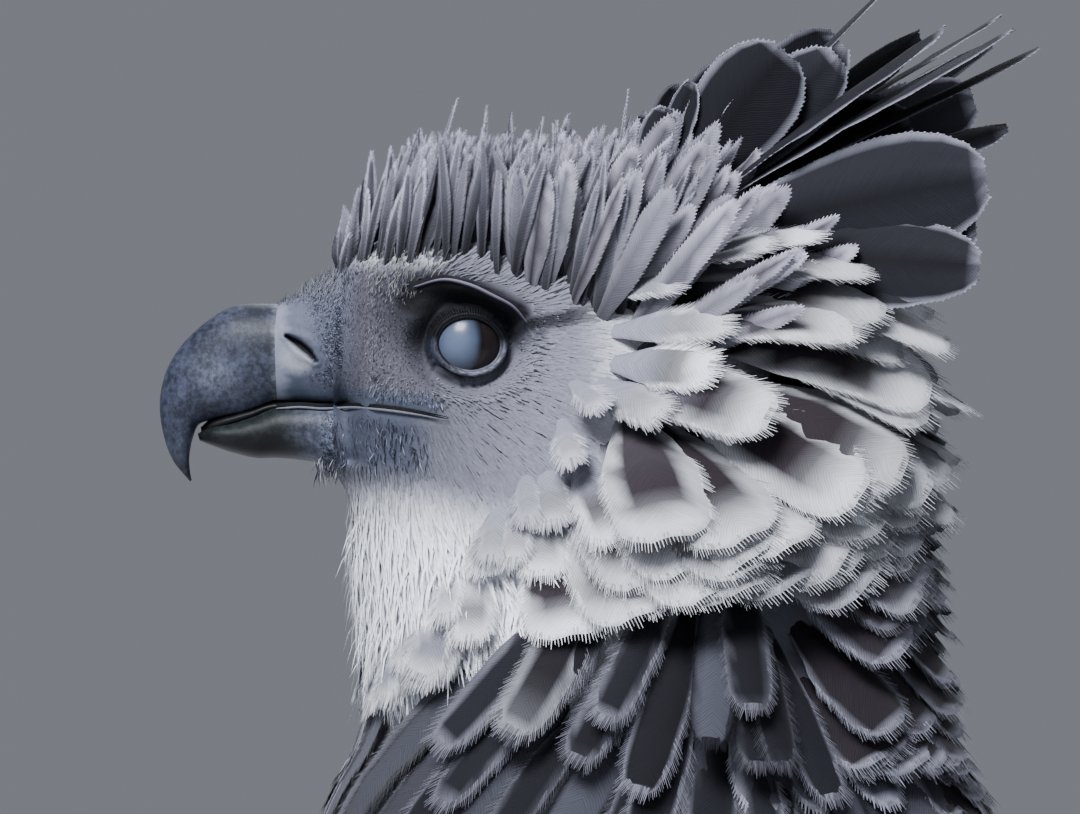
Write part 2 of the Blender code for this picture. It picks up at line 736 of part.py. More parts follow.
def box(name, centre, half, collection, tilt=0.0):
    turn = math.radians(tilt)
    verts = []
    for x, y, z in [(sx, sy, sz) for sx in (-1, 1) for sy in (-1, 1) for sz in (-1, 1)]:
        x, y, z = half[0] * x, half[1] * y, half[2] * z
        verts.append((centre[0] + x, centre[1] + y * math.cos(turn) - z * math.sin(turn),
                      centre[2] + y * math.sin(turn) + z * math.cos(turn)))
    faces = [(0, 1, 3, 2), (4, 6, 7, 5), (0, 4, 5, 1), (2, 3, 7, 6), (0, 2, 6, 4), (1, 5, 7, 3)]
    return add_object(name, (verts, faces), collection)


def claw_arc_radius(chord):
    sweep = math.radians(CLAW_START_RISE + CLAW_END_FALL)
    return chord / (2 * math.sin(0.5 * sweep))


def toe_end_height(chord):
    rise = math.cos(math.radians(CLAW_START_RISE)) - math.cos(math.radians(CLAW_END_FALL))
    return CLAW_TIP_HEIGHT + claw_arc_radius(chord) * rise


def toe_heading(side, heading):
    turn = math.radians(heading)
    return np.array([side * math.sin(turn), -math.cos(turn), 0.0])


def toe_path(centre, side, heading, length, chord):
    ahead = toe_heading(side, heading)
    end = toe_end_height(chord)
    slope = math.tan(math.radians(CLAW_START_RISE))
    marks = [(0.06, 19.0), (0.36, 12.6), (0.66, 11.0), (0.86, end - 0.14 * length * slope), (1.0, end)]
    start = np.array([centre[0], centre[1], 0.0])
    return [start + along * length * ahead + np.array([0.0, 0.0, z]) for along, z in marks]


def make_claw(model, side, word, number, toe, heading, chord, radius, paint):
    """A claw along a circular arc, from the toe's flat end down to its point."""
    ahead = toe_heading(side, heading)
    up = np.array([0.0, 0.0, 1.0])
    run = smooth_run(toe, 7)
    last = unit(run[-1] - run[-2])
    rise = math.atan2(last[2], math.hypot(last[0], last[1]))
    arc = claw_arc_radius(chord)
    point = np.asarray(toe[-1]) + GAP * last
    fall = -math.radians(CLAW_END_FALL)
    path = [point]
    steps = 7
    for k in range(steps):
        turn = rise + (fall - rise) * (k + 0.5) / steps
        stride = arc * (rise - fall) / steps
        point = point + stride * (math.cos(turn) * ahead + math.sin(turn) * up)
        path.append(point)
    low = path[-1][2]
    sink = (low - CLAW_TIP_HEIGHT) / steps
    path = [p - np.array([0.0, 0.0, sink * k]) for k, p in enumerate(path)]
    radii = [CLAW_TIP_RADIUS + (radius - CLAW_TIP_RADIUS) * (1 - (k / steps) ** 1.35)
             for k in range(steps + 1)]
    across = np.cross(ahead, up)
    rings = []
    for k, centre in enumerate(path):
        if k == 0:
            direction = last
        else:
            direction = unit(path[min(k + 1, steps)] - path[k - 1])
        second = np.cross(direction, across)
        rings.append([centre + radii[k] * (0.8 * math.cos(t) * across + math.sin(t) * second)
                      for t in (2 * math.pi * s / 6 for s in range(6))])
    add_object(f"claw_{word}_{number}", ring_mesh(rings), model, paint)


def make_wing(model, cutters, side, word, body, paint):
    """The folded wing: a thin arm and its tiers of feathers over one another."""
    columns = 5
    outer, inner = [], []
    for place, dorsal, ventral in smooth_run(WING_ARM, 7):
        for k in range(columns):
            share = k / (columns - 1)
            angle = math.radians(dorsal + (ventral - dorsal) * share)
            swell = math.sin(math.pi * share) ** 0.5
            ends = min(1.0, 0.4 + (place - 10.35) / 0.9, 0.45 + (13.7 - place) / 1.2)
            outer.append(body.point(place, angle, WING_CLEARANCE + 1.5 + ARM_THICKNESS * swell * ends))
            inner.append(body.point(place, angle, WING_CLEARANCE))
    shape = sheet_mesh(outer, inner, columns)
    verts = [(side * x, y, z) for x, y, z in shape[0]]
    wing = add_object(f"wing_{word}", (verts, shape[1]), model, paint)
    feathers = []
    feathers += wing_primaries(body, side, cutters)
    for tier in WING_TIERS.values():
        feathers += wing_tier(body, side, tier, cutters)
    fuse(wing, feathers, "MANIFOLD")


def primary_frame(body, t):
    """Middle of the bundle at a share of its length, its run and its flat direction."""
    points = []
    for step in (t, t + 0.02):
        place, turn, lift = (a + (b - a) * step for a, b in zip(PRIMARY_ROOT, PRIMARY_TIP))
        points.append(body.point(place, math.radians(turn), lift))
        if step == t:
            out = body.normal(place, math.radians(turn))
    along = unit(points[1] - points[0])
    return points[0], along, unit(np.cross(out, along))


def wing_primaries(body, side, cutters):
    """Long blades stacked in one bundle that runs from the hand over the tail's root."""
    mirror = np.array([side, 1.0, 1.0])
    middle = 0.5 * (len(PRIMARY_REACH) - 1)
    across = primary_frame(body, PRIMARY_FLAT)[2]
    feathers = []
    for k, reach in enumerate(PRIMARY_REACH):
        path, normals = [], []
        steps = [t for t in PRIMARY_STEPS if t < reach - 0.02] + [reach]
        for t in steps:
            point, along, _ = primary_frame(body, t)
            out = unit(np.cross(along, across))
            point = point + (k - middle) * (PRIMARY_SPACING * across + PRIMARY_LAYER * out)
            path.append(point * mirror)
            normals.append(out * mirror)
        widths = [PRIMARY_WIDTH * smooth_value(FEATHER_OUTLINE, 4.0 * t / reach) for t in steps]
        feathers.append(vane(path, normals, widths, WING_VANE, cutters))
    return feathers


def wing_tier(body, side, tier, cutters):
    count, first_root, last_root, first_tip, last_tip, width, rows, roll = tier
    feathers = []
    for k in range(count):
        share = k / (count - 1)
        root = [a + (b - a) * share for a, b in zip(first_root, last_root)]
        tip = [a + (b - a) * share for a, b in zip(first_tip, last_tip)]
        lifts = [root[2] + (tip[2] - root[2]) * t for t in np.linspace(0.0, 1.0, rows)]
        feathers.append(surface_vane(body, side, root, tip, lifts, width, WING_VANE, cutters,
                                     roll))
    return feathers


def sheet_mesh(outer, inner, columns):
    """Closed plate between two grids of points, split alike on both faces."""
    rows = len(outer) // columns
    count = len(outer)
    faces = []
    for r in range(rows - 1):
        for c in range(columns - 1):
            a = r * columns + c
            b, d, e = a + 1, a + columns, a + columns + 1
            faces += [(a, b, e), (a, e, d)]
            faces += [(count + a, count + e, count + b), (count + a, count + d, count + e)]
    rim = [c for c in range(columns)]
    rim += [r * columns + columns - 1 for r in range(1, rows)]
    rim += [(rows - 1) * columns + c for c in range(columns - 2, -1, -1)]
    rim += [r * columns for r in range(rows - 2, 0, -1)]
    for k, a in enumerate(rim):
        b = rim[(k + 1) % len(rim)]
        faces += [(a, count + a, count + b), (a, count + b, b)]
    return list(outer) + list(inner), faces


def make_tail(model, cutters, body, paint):
    """The closed tail: a short fleshy root and two rows of long feathers."""
    turn = math.radians(TAIL_ANGLE)
    along = np.array([0.0, math.cos(turn), math.sin(turn)])
    up = np.array([0.0, -math.sin(turn), math.cos(turn)])
    root = np.array([0.0, *TAIL_ROOT])
    first = body.row(TAIL_START)
    middle = 0.5 * (first[:2] + first[2:4])
    edge = unit(first[:2] - first[2:4])
    start = middle + GAP * np.array([edge[1], -edge[0]])
    rows = [(*(start + 20.0 * edge), *(start - 20.0 * edge), 36.0)]
    for share, half_height, half_width in ((0.08, 17.0, 40.0), (TAIL_CORE_SHARE, 8.0, 40.0)):
        place = (root + share * TAIL_LENGTH * along)[1:]
        rows.append((*(place + half_height * up[1:]), *(place - half_height * up[1:]), half_width))
    tail = add_object("tail", Form(rows, 2.4).mesh(0, 2, 5, 12), model, paint)
    feathers = []
    for k in range(TAIL_FEATHERS):
        pair, side = k // 2, 1 if k % 2 else -1
        layer = (0.5 * (TAIL_FEATHERS - 1) - k) * TAIL_LAYER
        spread = (pair + 0.35) / (TAIL_FEATHERS // 2 - 0.65)
        length = TAIL_LENGTH * (1.0 - 0.05 * spread ** 2)
        feathers.append(tail_feather(root, along, up, side * spread, layer, length, cutters))
    for k in range(TAIL_COVERTS):
        spread = 2.0 * k / (TAIL_COVERTS - 1) - 1.0
        for face in (1, -1):
            layer = face * (8.6 + 1.2 * (k % 2))
            feathers.append(tail_feather(root, along, up, 0.6 * spread, layer,
                                         TAIL_LENGTH * (0.42 - 0.08 * abs(spread)), cutters))
    fuse(tail, feathers, "MANIFOLD")


def tail_feather(root, along, up, spread, layer, length, cutters):
    """A tail feather from the fleshy root to its rounded tip."""
    path, widths = [], []
    for t, wide in ((0.08, 0.5), (0.35, 0.8), (0.7, 0.95), (0.93, 1.0), (1.0, 0.5)):
        reach = (0.32 + 0.68 * t * length / TAIL_LENGTH) * TAIL_TIP_SPREAD * spread
        path.append(root + (t * length + 0.04 * TAIL_LENGTH) * along + layer * up
                    + np.array([reach, 0.0, 0.0]))
        widths.append(TAIL_FEATHER_WIDTH * wide)
    return vane(path, [up] * 5, widths, TAIL_VANE, cutters)


def settle(model):
    """Moves the bird so that the middle of its floor outline is the origin."""
    points = [o.matrix_world @ v.co for o in model.objects for v in o.data.vertices]
    middle_y = 0.5 * (min(p.y for p in points) + max(p.y for p in points))
    for obj in model.objects:
        for vert in obj.data.vertices:
            vert.co.y -= middle_y


def make_bird():
    for obj in list(bpy.data.objects):
        bpy.data.objects.remove(obj)
    model = bpy.data.collections.new("harpy_eagle")
    cutters = bpy.data.collections.new("cutters")
    bpy.context.scene.collection.children.link(model)
    bpy.context.scene.collection.children.link(cutters)
    paints = {
        "plumage_grey": material("plumage_grey", (0.42, 0.43, 0.48), 0.8),
        "plumage_slate": material("plumage_slate", (0.07, 0.075, 0.09), 0.7),
        "plumage_white": material("plumage_white", (0.78, 0.78, 0.82), 0.85),
        "bill_horn": material("bill_horn", (0.07, 0.08, 0.1), 0.4),
        "face_skin": material("face_skin", (0.16, 0.17, 0.2), 0.6),
        "leg_skin": material("leg_skin", (0.62, 0.47, 0.12), 0.6),
        "claw_horn": material("claw_horn", (0.03, 0.03, 0.035), 0.35),
        "eye_glass": material("eye_glass", (0.2, 0.25, 0.34), 0.1),
    }
    body = Form(BODY, BODY_FULLNESS)
    draw = random.Random(7)
    make_head(model, cutters, body, paints["plumage_grey"], draw)
    make_crest(model, cutters, paints["plumage_slate"])
    make_bill(model, cutters, paints["bill_horn"], paints["face_skin"])
    for side, word in ((1, "left"), (-1, "right")):
        ball(f"eye_{word}", eye_centre(side), [EYE_RADIUS] * 3, model,
             segments=14, rings=8, paint=paints["eye_glass"])
    make_neck(model, cutters, body, paints["plumage_grey"], draw)
    torso = add_object("torso", body.mesh(TORSO_START + CUT_STEP, TAIL_START, 12, 20), model,
                       paints["plumage_slate"])
    for side, word in ((1, "left"), (-1, "right")):
        make_wing(model, cutters, side, word, body, paints["plumage_slate"])
        make_leg(model, cutters, side, word, torso, paints)
    make_tail(model, cutters, body, paints["plumage_slate"])
    settle(model)


make_bird()
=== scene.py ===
"""Looks of the harpy eagle: skin, feathers, bill, eyes, legs, floor, light and camera.

Sizes are in millimetres until a mesh is made. Places along Y are measured from the
eyes and heights from the floor, as on the solids; the eye's box gives the shift.
"""
import math

import bpy
import numpy as np
from mathutils import Matrix, Vector


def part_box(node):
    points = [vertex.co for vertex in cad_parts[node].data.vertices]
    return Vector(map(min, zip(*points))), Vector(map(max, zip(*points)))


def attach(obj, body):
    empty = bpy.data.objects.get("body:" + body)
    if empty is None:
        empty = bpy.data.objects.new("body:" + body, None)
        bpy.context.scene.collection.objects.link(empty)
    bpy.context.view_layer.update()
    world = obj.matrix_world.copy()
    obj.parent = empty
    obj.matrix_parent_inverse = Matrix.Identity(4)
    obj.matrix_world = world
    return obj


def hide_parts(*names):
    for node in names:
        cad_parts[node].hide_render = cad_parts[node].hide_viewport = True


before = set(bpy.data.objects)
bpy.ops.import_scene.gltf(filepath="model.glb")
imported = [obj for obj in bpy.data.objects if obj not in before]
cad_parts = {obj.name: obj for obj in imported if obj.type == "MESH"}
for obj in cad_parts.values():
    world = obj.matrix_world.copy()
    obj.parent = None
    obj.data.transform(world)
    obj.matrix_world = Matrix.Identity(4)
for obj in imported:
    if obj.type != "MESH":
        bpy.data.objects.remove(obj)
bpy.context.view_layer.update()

MM = 0.001
EYE_LOW, EYE_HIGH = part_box("eye_left")
EYE_SHIFT = 0.5 * (EYE_LOW[1] + EYE_HIGH[1]) / MM
EYE_HEIGHT = 0.5 * (EYE_LOW[2] + EYE_HIGH[2]) / MM
EYE_X = 0.5 * (EYE_LOW[0] + EYE_HIGH[0]) / MM
EYE_RADIUS = 0.5 * (EYE_HIGH[2] - EYE_LOW[2]) / MM
SIDES = ((1, "left"), (-1, "right"))
RNG = np.random.default_rng(11)

# Colours, linear
WHITE = np.array([0.80, 0.815, 0.87])
PALE = np.array([0.27, 0.275, 0.335])
GREY = np.array([0.085, 0.088, 0.115])
SLATE = np.array([0.024, 0.024, 0.034])
DARK = np.array([0.006, 0.006, 0.009])
BROWNISH = np.array([0.034, 0.026, 0.033])

# The body in sections: top y, top z, bottom y, bottom z, half width
BODY = [
    (-37.2, 719.5, -37.2, 665.5, 18.0),
    (-29.0, 727.0, -34.5, 661.0, 24.0),
    (-16.0, 733.0, -33.0, 656.0, 30.5),
    (2.0, 736.5, -32.0, 650.0, 35.0),
    (20.0, 735.5, -31.5, 643.0, 37.5),
    (39.0, 728.5, -31.0, 636.0, 40.0),
    (64.0, 714.0, -30.0, 628.0, 45.0),
    (86.0, 690.0, -28.5, 617.0, 52.0),
    (101.0, 656.0, -27.0, 603.0, 59.0),
    (113.0, 621.0, -28.5, 587.0, 66.0),
    (128.0, 584.0, -35.5, 566.0, 75.0),
    (155.0, 535.0, -43.0, 512.0, 92.0),
    (192.0, 478.0, -36.0, 446.0, 106.0),
    (227.0, 420.0, -8.0, 382.0, 110.0),
    (257.0, 368.0, 42.0, 322.0, 104.0),
    (283.0, 322.0, 104.0, 274.0, 88.0),
    (304.0, 284.0, 172.0, 240.0, 66.0),
    (321.0, 254.0, 238.0, 219.0, 44.0),
    (378.5, 191.6, 361.5, 164.4, 46.0),
    (466.4, 134.1, 451.6, 110.3, 44.0),
]
BODY_FULLNESS = 2.15
HEAD_END = 6.0
TAIL_START = 17.0

UPPER_BILL = [
    (-52.3, 11.3, -52.3, -15.7, 12.2),
    (-60.9, 11.3, -60.1, -18.7, 11.2),
    (-66.7, 9.9, -65.0, -19.6, 10.3),
    (-73.6, 5.2, -70.4, -20.6, 9.0),
    (-79.3, -0.6, -74.2, -22.0, 7.7),
    (-83.2, -7.4, -75.8, -25.6, 6.3),
    (-84.9, -15.7, -76.6, -29.3, 4.9),
    (-84.0, -24.2, -76.8, -32.2, 3.4),
    (-81.3, -31.7, -76.5, -35.4, 1.9),
    (-76.6, -37.6, -76.1, -37.2, 0.5),
]
LOWER_BILL = [
    (-32.5, -16.2, -32.5, -32.6, 12.4),
    (-35.0, -15.5, -35.0, -33.6, 14.3),
    (-37.8, -15.4, -37.8, -33.0, 14.0),
    (-45.0, -15.4, -45.0, -31.8, 12.6),
    (-52.3, -16.1, -52.3, -31.1, 11.2),
    (-58.6, -18.8, -58.4, -31.1, 10.0),
    (-65.0, -21.2, -64.2, -29.8, 8.4),
    (-71.0, -22.4, -69.4, -28.1, 6.0),
    (-74.4, -24.4, -73.8, -26.4, 2.4),
]
CERE = [
    (-54.0, 10.9, -54.0, -15.4, 11.5),
    (-52.0, 11.4, -52.0, -15.8, 12.4),
    (-44.8, 14.6, -44.8, -16.3, 14.6),
    (-37.5, 18.6, -37.5, -16.6, 17.4),
    (-35.0, 19.0, -35.0, -16.6, 17.5),
    (-32.5, 18.4, -32.5, -16.2, 15.6),
]
MOUTH = [
    (-37.6, -15.0, -37.6, -20.0, 8.6),
    (-52.3, -14.8, -52.3, -19.0, 7.0),
    (-60.0, -17.0, -60.0, -21.5, 6.2),
    (-70.0, -20.0, -69.6, -24.4, 4.0),
    (-73.6, -22.6, -73.2, -25.0, 1.8),
]
EYE_RING_LENGTH, EYE_RING_HEIGHT = 10.2, 8.4
BROW = [(-14.5, 15.5), (-6.6, 17.4), (0.5, 16.0), (7.0, 13.0), (12.5, 10.0), (16.5, 5.5)]
GAPE = [(-39.5, -16.9), (-31.0, -16.6), (-22.0, -17.3), (-13.0, -18.6), (-5.0, -20.2)]
EYE_STREAK = [(10.5, 1.5), (16.5, 5.6), (23.5, 6.8), (30.5, 9.0)]
NOSTRIL = [(-49.6, 2.4), (-46.4, 0.4), (-43.4, -2.0), (-41.6, -4.4)]
CREST_SEAT = np.array([0.0, 43.0, 722.0])

THIGH = [
    (342.0, 48.0, 124.0, 30.0, 48.0),
    (305.0, 58.0, 130.0, 44.0, 62.0),
    (260.0, 70.0, 146.0, 46.0, 60.0),
    (215.0, 79.0, 162.0, 41.0, 50.0),
    (172.0, 85.0, 176.0, 32.0, 38.0),
    (132.0, 88.0, 186.0, 26.0, 29.0),
]
TARSUS = [
    (131.7, 88.0, 186.0, 20.0, 22.0),
    (118.0, 88.5, 182.0, 18.5, 20.5),
    (90.0, 90.0, 172.0, 16.0, 17.5),
    (58.0, 91.5, 160.0, 15.5, 17.0),
    (35.5, 92.0, 152.0, 17.0, 18.0),
]
FOOT_CENTRE = (92.0, 150.0)
HUB_RADIUS = 20.5
TOES = {
    "1": (183.0, 46.0, 13.5, 82.0, 9.8),
    "2": (-36.0, 62.0, 13.0, 60.0, 8.0),
    "3": (4.0, 86.0, 13.0, 58.0, 7.8),
    "4": (44.0, 66.0, 12.0, 50.0, 7.2),
}
CLAW_START_RISE = 35.0
CLAW_END_FALL = 62.0
CLAW_TIP_HEIGHT = 1.6

TAIL_ANGLE = -32.0
TAIL_LENGTH = 372.0
TAIL_ROOT = (281.0, 233.5)
PRIMARY_ROOT = (13.0, 87.0, 5.6)
PRIMARY_TIP = (18.55, 52.0, 10.8)


# Small numeric helpers

def unit(vectors):
    vectors = np.asarray(vectors, float)
    return vectors / np.maximum(np.linalg.norm(vectors, axis=-1, keepdims=True), 1e-9)


def smooth(low, high, value):
    t = np.clip((np.asarray(value, float) - low) / (high - low), 0.0, 1.0)
    return t * t * (3.0 - 2.0 * t)


def blend(a, b, share):
    share = np.asarray(share, float)[..., None]
    return np.asarray(a) * (1.0 - share) + np.asarray(b) * share


def curve_value(values, place):
    """Values at places along one smooth curve through evenly counted rows."""
    values = np.asarray(values, float)
    last = len(values) - 1
    place = np.clip(np.asarray(place, float), 0.0, last)
    k = np.minimum(place.astype(int), last - 1)
    f = (place - k)[..., None]
    rows = np.vstack([2 * values[0] - values[1], values, 2 * values[last] - values[last - 1]])
    before, a, b, after = rows[k], rows[k + 1], rows[k + 2], rows[k + 3]
    return 0.5 * (2 * a + (b - before) * f + (2 * before - 5 * a + 4 * b - after) * f ** 2
                  + (3 * a - before - 3 * b + after) * f ** 3)


def curve_run(values, count):
    return curve_value(values, np.linspace(0.0, len(values) - 1.0, count))


class Form:
    """A long form through sections that each run from a top to a bottom point."""

    def __init__(self, rows, fullness=2.0, raised=0.0, mirror=1.0):
        self.rows = np.array(rows, float)
        self.rows[:, 1] += raised
        self.rows[:, 3] += raised
        self.power = 2.0 / fullness
        self.mirror = mirror
        self.last = len(rows) - 1.0

    def bare(self, place, angle):
        place, angle = np.broadcast_arrays(np.asarray(place, float), np.asarray(angle, float))
        row = curve_value(self.rows, place)
        rise = np.sign(np.cos(angle)) * np.abs(np.cos(angle)) ** self.power
        reach = np.sign(np.sin(angle)) * np.abs(np.sin(angle)) ** self.power
        return np.stack([
            self.mirror * row[..., 4] * reach,
            0.5 * (row[..., 0] + row[..., 2]) + 0.5 * (row[..., 0] - row[..., 2]) * rise,
            0.5 * (row[..., 1] + row[..., 3]) + 0.5 * (row[..., 1] - row[..., 3]) * rise,
        ], axis=-1)

    def normal(self, place, angle):
        place, angle = np.broadcast_arrays(np.asarray(place, float), np.asarray(angle, float))
        step = 0.02
        ahead = self.bare(np.minimum(place + step, self.last), angle)
        behind = self.bare(np.maximum(place - step, 0.0), angle)
        around = self.bare(place, angle + step) - self.bare(place, angle - step)
        return self.mirror * unit(np.cross(around, ahead - behind))

    def point(self, place, angle, lift=0.0):
        return self.bare(place, angle) + np.asarray(lift)[..., None] * self.normal(place, angle)


class Stack(Form):
    """Level rings one over another: height, centre and half sizes."""

    def __init__(self, rows, mirror):
        self.rows = np.array(rows, float)
        self.mirror = mirror
        self.last = len(rows) - 1.0

    def bare(self, place, angle):
        place, angle = np.broadcast_arrays(np.asarray(place, float), np.asarray(angle, float))
        row = curve_value(self.rows, place)
        return np.stack([
            self.mirror * (row[..., 1] + row[..., 3] * np.cos(angle)),
            row[..., 2] + row[..., 4] * np.sin(angle),
            row[..., 0],
        ], axis=-1)

    def normal(self, place, angle):
        return -super().normal(place, angle)


BODY_FORM = Form(BODY, BODY_FULLNESS)


# Meshes

def place_points(points):
    """Points from the working millimetres to metres in the frame."""
    points = np.asarray(points, float).reshape(-1, 3) + np.array([0.0, EYE_SHIFT, 0.0])
    return points * MM


def profile(points):
    """Y and Z of points, Z counted from the eye."""
    return points[..., 1], points[..., 2] - EYE_HEIGHT


def make_mesh(name, points, faces, material, colours=None, barb=None, bake=None):
    """Object from points in millimetres and faces as arrays of three or four corners."""
    mesh = bpy.data.meshes.new(name)
    points = place_points(points)
    corners = np.concatenate([np.asarray(f, np.int32).ravel() for f in faces])
    sizes = np.concatenate([np.full(len(f), len(f[0]), np.int32) for f in faces])
    starts = np.concatenate([[0], np.cumsum(sizes)[:-1]]).astype(np.int32)
    mesh.vertices.add(len(points))
    mesh.vertices.foreach_set("co", points.astype(np.float32).ravel())
    mesh.loops.add(len(corners))
    mesh.loops.foreach_set("vertex_index", corners)
    mesh.polygons.add(len(sizes))
    mesh.polygons.foreach_set("loop_start", starts)
    mesh.polygons.foreach_set("loop_total", sizes)
    mesh.update(calc_edges=True)
    mesh.validate()
    if colours is not None:
        rgba = np.ones((len(points), 4), np.float32)
        rgba[:, :3] = np.clip(np.asarray(colours).reshape(-1, 3), 0.0, 1.0)
        layer = mesh.color_attributes.new("Tint", "FLOAT_COLOR", "POINT")
        layer.data.foreach_set("color", rgba.ravel())
    if barb is not None:
        layer = mesh.uv_layers.new(name="Barbs")
        layer.data.foreach_set("uv", np.asarray(barb, np.float32).reshape(-1, 2)[corners].ravel())
    if bake is not None:
        layer = mesh.uv_layers.new(name="OFBake")
        layer.data.foreach_set("uv", np.asarray(bake, np.float32).reshape(-1, 2)[corners].ravel())
    mesh.polygons.foreach_set("use_smooth", np.full(len(sizes), True))
    mesh.materials.append(material)
    obj = bpy.data.objects.new(name, mesh)
    bpy.context.scene.collection.objects.link(obj)
    return obj


def grid_faces(rows, columns, closed=False):
    r = np.arange(rows - 1)[:, None] * columns
    width = columns if closed else columns - 1
    c = np.arange(width)[None, :]
    n = (c + 1) % columns
    return np.stack([r + c, r + n, r + columns + n, r + columns + c], axis=-1).reshape(-1, 4)


def finish_piece(obj, slot, *nodes):
    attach(obj, "root")
    if nodes:
        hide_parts(*nodes)
    return obj


def plain_piece(name, points, faces, paint, colours, slot, *nodes):
    """A piece that has no feathers: its mesh and the nodes it replaces; its slot is not used."""
    return finish_piece(make_mesh(name, points, faces, paint, colours), slot, *nodes)


# Materials

def new_material(name, roughness, specular=0.5):
    paint = bpy.data.materials.new(name)
    paint.use_nodes = True
    shader = paint.node_tree.nodes["Principled BSDF"]
    shader.inputs["Roughness"].default_value = roughness
    shader.inputs["Specular IOR Level"].default_value = specular
    return paint, paint.node_tree, shader


def node(tree, kind, **settings):
    made = tree.nodes.new(kind)
    for key, value in settings.items():
        if isinstance(value, (int, float, tuple)) and key in made.inputs:
            made.inputs[key].default_value = value
        else:
            setattr(made, key, value)
    return made


def math_node(tree, operation, a, b=None):
    made = tree.nodes.new("ShaderNodeMath")
    made.operation = operation
    for socket, value in zip(made.inputs, (a, b)):
        if value is None:
            continue
        if isinstance(value, (int, float)):
            socket.default_value = value
        else:
            tree.links.new(value, socket)
    return made.outputs[0]


def tinted(tree, shader, factor, low, high):
    """Colour attribute times a grey that runs between two values by a factor."""
    tint = node(tree, "ShaderNodeVertexColor", layer_name="Tint")
    spread = tree.nodes.new("ShaderNodeMapRange")
    spread.inputs["To Min"].default_value = low
    spread.inputs["To Max"].default_value = high
    tree.links.new(factor, spread.inputs["Value"])
    scale = tree.nodes.new("ShaderNodeVectorMath")
    scale.operation = "SCALE"
    tree.links.new(tint.outputs["Color"], scale.inputs[0])
    tree.links.new(spread.outputs["Result"], scale.inputs["Scale"])
    tree.links.new(scale.outputs["Vector"], shader.inputs["Base Color"])


def feather_material(name, spacing, depth, roughness=0.72):
    """Barbs slant from the shaft to the edges, with breaks and a soft sheen."""
    paint, tree, shader = new_material(name, roughness, 0.10)
    shader.inputs["Sheen Weight"].default_value = 0.03
    shader.inputs["Sheen Roughness"].default_value = 0.5
    uv = node(tree, "ShaderNodeUVMap", uv_map="Barbs")
    split = tree.nodes.new("ShaderNodeSeparateXYZ")
    tree.links.new(uv.outputs["UV"], split.inputs[0])
    side = math_node(tree, "ABSOLUTE", split.outputs["Y"])
    slant = math_node(tree, "SUBTRACT", split.outputs["X"], math_node(tree, "MULTIPLY", side, 0.9))
    noise = node(tree, "ShaderNodeTexNoise", Scale=22.0, Detail=3.0)
    tree.links.new(uv.outputs["UV"], noise.inputs["Vector"])
    bent = math_node(tree, "ADD", slant, math_node(tree, "MULTIPLY", noise.outputs["Fac"], 0.02))
    wave = math_node(tree, "SINE", math_node(tree, "MULTIPLY", bent, 2 * math.pi / spacing))
    broken = math_node(tree, "MULTIPLY", math_node(tree, "ADD", wave, 1.0), 0.5)
    clump = node(tree, "ShaderNodeTexNoise", Scale=14.0, Detail=5.0, Roughness=0.65)
    place = tree.nodes.new("ShaderNodeCombineXYZ")
    tree.links.new(math_node(tree, "MULTIPLY", bent, 6.0), place.inputs["X"])
    tree.links.new(math_node(tree, "MULTIPLY", side, 0.7), place.inputs["Y"])
    tree.links.new(place.outputs[0], clump.inputs["Vector"])
    mixed = math_node(tree, "ADD", math_node(tree, "MULTIPLY", broken, 0.28),
                      math_node(tree, "MULTIPLY", clump.outputs["Fac"], 0.72))
    tinted(tree, shader, mixed, 1.0 - depth, 1.0 + 0.55 * depth)
    bump = node(tree, "ShaderNodeBump", Strength=0.35, Distance=0.0004)
    tree.links.new(mixed, bump.inputs["Height"])
    tree.links.new(bump.outputs["Normal"], shader.inputs["Normal"])
    return paint


def skin_material(name, roughness, scale, strength, distance, low=0.75, high=1.2, cells=False):
    """Skin or horn: the painted colour, broken by fine grain."""
    paint, tree, shader = new_material(name, roughness, 0.15)
    place = tree.nodes.new("ShaderNodeTexCoord")
    grain = node(tree, "ShaderNodeTexNoise", Scale=scale, Detail=6.0, Roughness=0.65)
    tree.links.new(place.outputs["Object"], grain.inputs["Vector"])
    factor = grain.outputs["Fac"]
    height = factor
    if cells:
        cell = node(tree, "ShaderNodeTexVoronoi", Scale=scale * 1.6)
        tree.links.new(place.outputs["Object"], cell.inputs["Vector"])
        height = math_node(tree, "ADD", math_node(tree, "MULTIPLY", cell.outputs["Distance"], -1.2), factor)
    tinted(tree, shader, factor, low, high)
    bump = node(tree, "ShaderNodeBump", Strength=strength, Distance=distance)
    tree.links.new(height, bump.inputs["Height"])
    tree.links.new(bump.outputs["Normal"], shader.inputs["Normal"])
    return paint


def horn_material(name, roughness):
    """Horn with pale scuffs and fine speckles over a dark ground."""
    paint, tree, shader = new_material(name, roughness, 0.16)
    place = tree.nodes.new("ShaderNodeTexCoord")
    patch = node(tree, "ShaderNodeTexNoise", Scale=75.0, Detail=3.0, Roughness=0.6)
    fine = node(tree, "ShaderNodeTexNoise", Scale=620.0, Detail=6.0, Roughness=0.75)
    for made in (patch, fine):
        tree.links.new(place.outputs["Object"], made.inputs["Vector"])
    worn = math_node(tree, "ADD", math_node(tree, "MULTIPLY", patch.outputs["Fac"], 0.4),
                     math_node(tree, "MULTIPLY", fine.outputs["Fac"], 0.6))
    sharp = tree.nodes.new("ShaderNodeMapRange")
    sharp.inputs["From Min"].default_value = 0.44
    sharp.inputs["From Max"].default_value = 0.62
    tree.links.new(worn, sharp.inputs["Value"])
    tinted(tree, shader, sharp.outputs["Result"], 0.7, 2.5)
    bump = node(tree, "ShaderNodeBump", Strength=0.5, Distance=0.0003)
    tree.links.new(worn, bump.inputs["Height"])
    tree.links.new(bump.outputs["Normal"], shader.inputs["Normal"])
    return paint


# Feathers

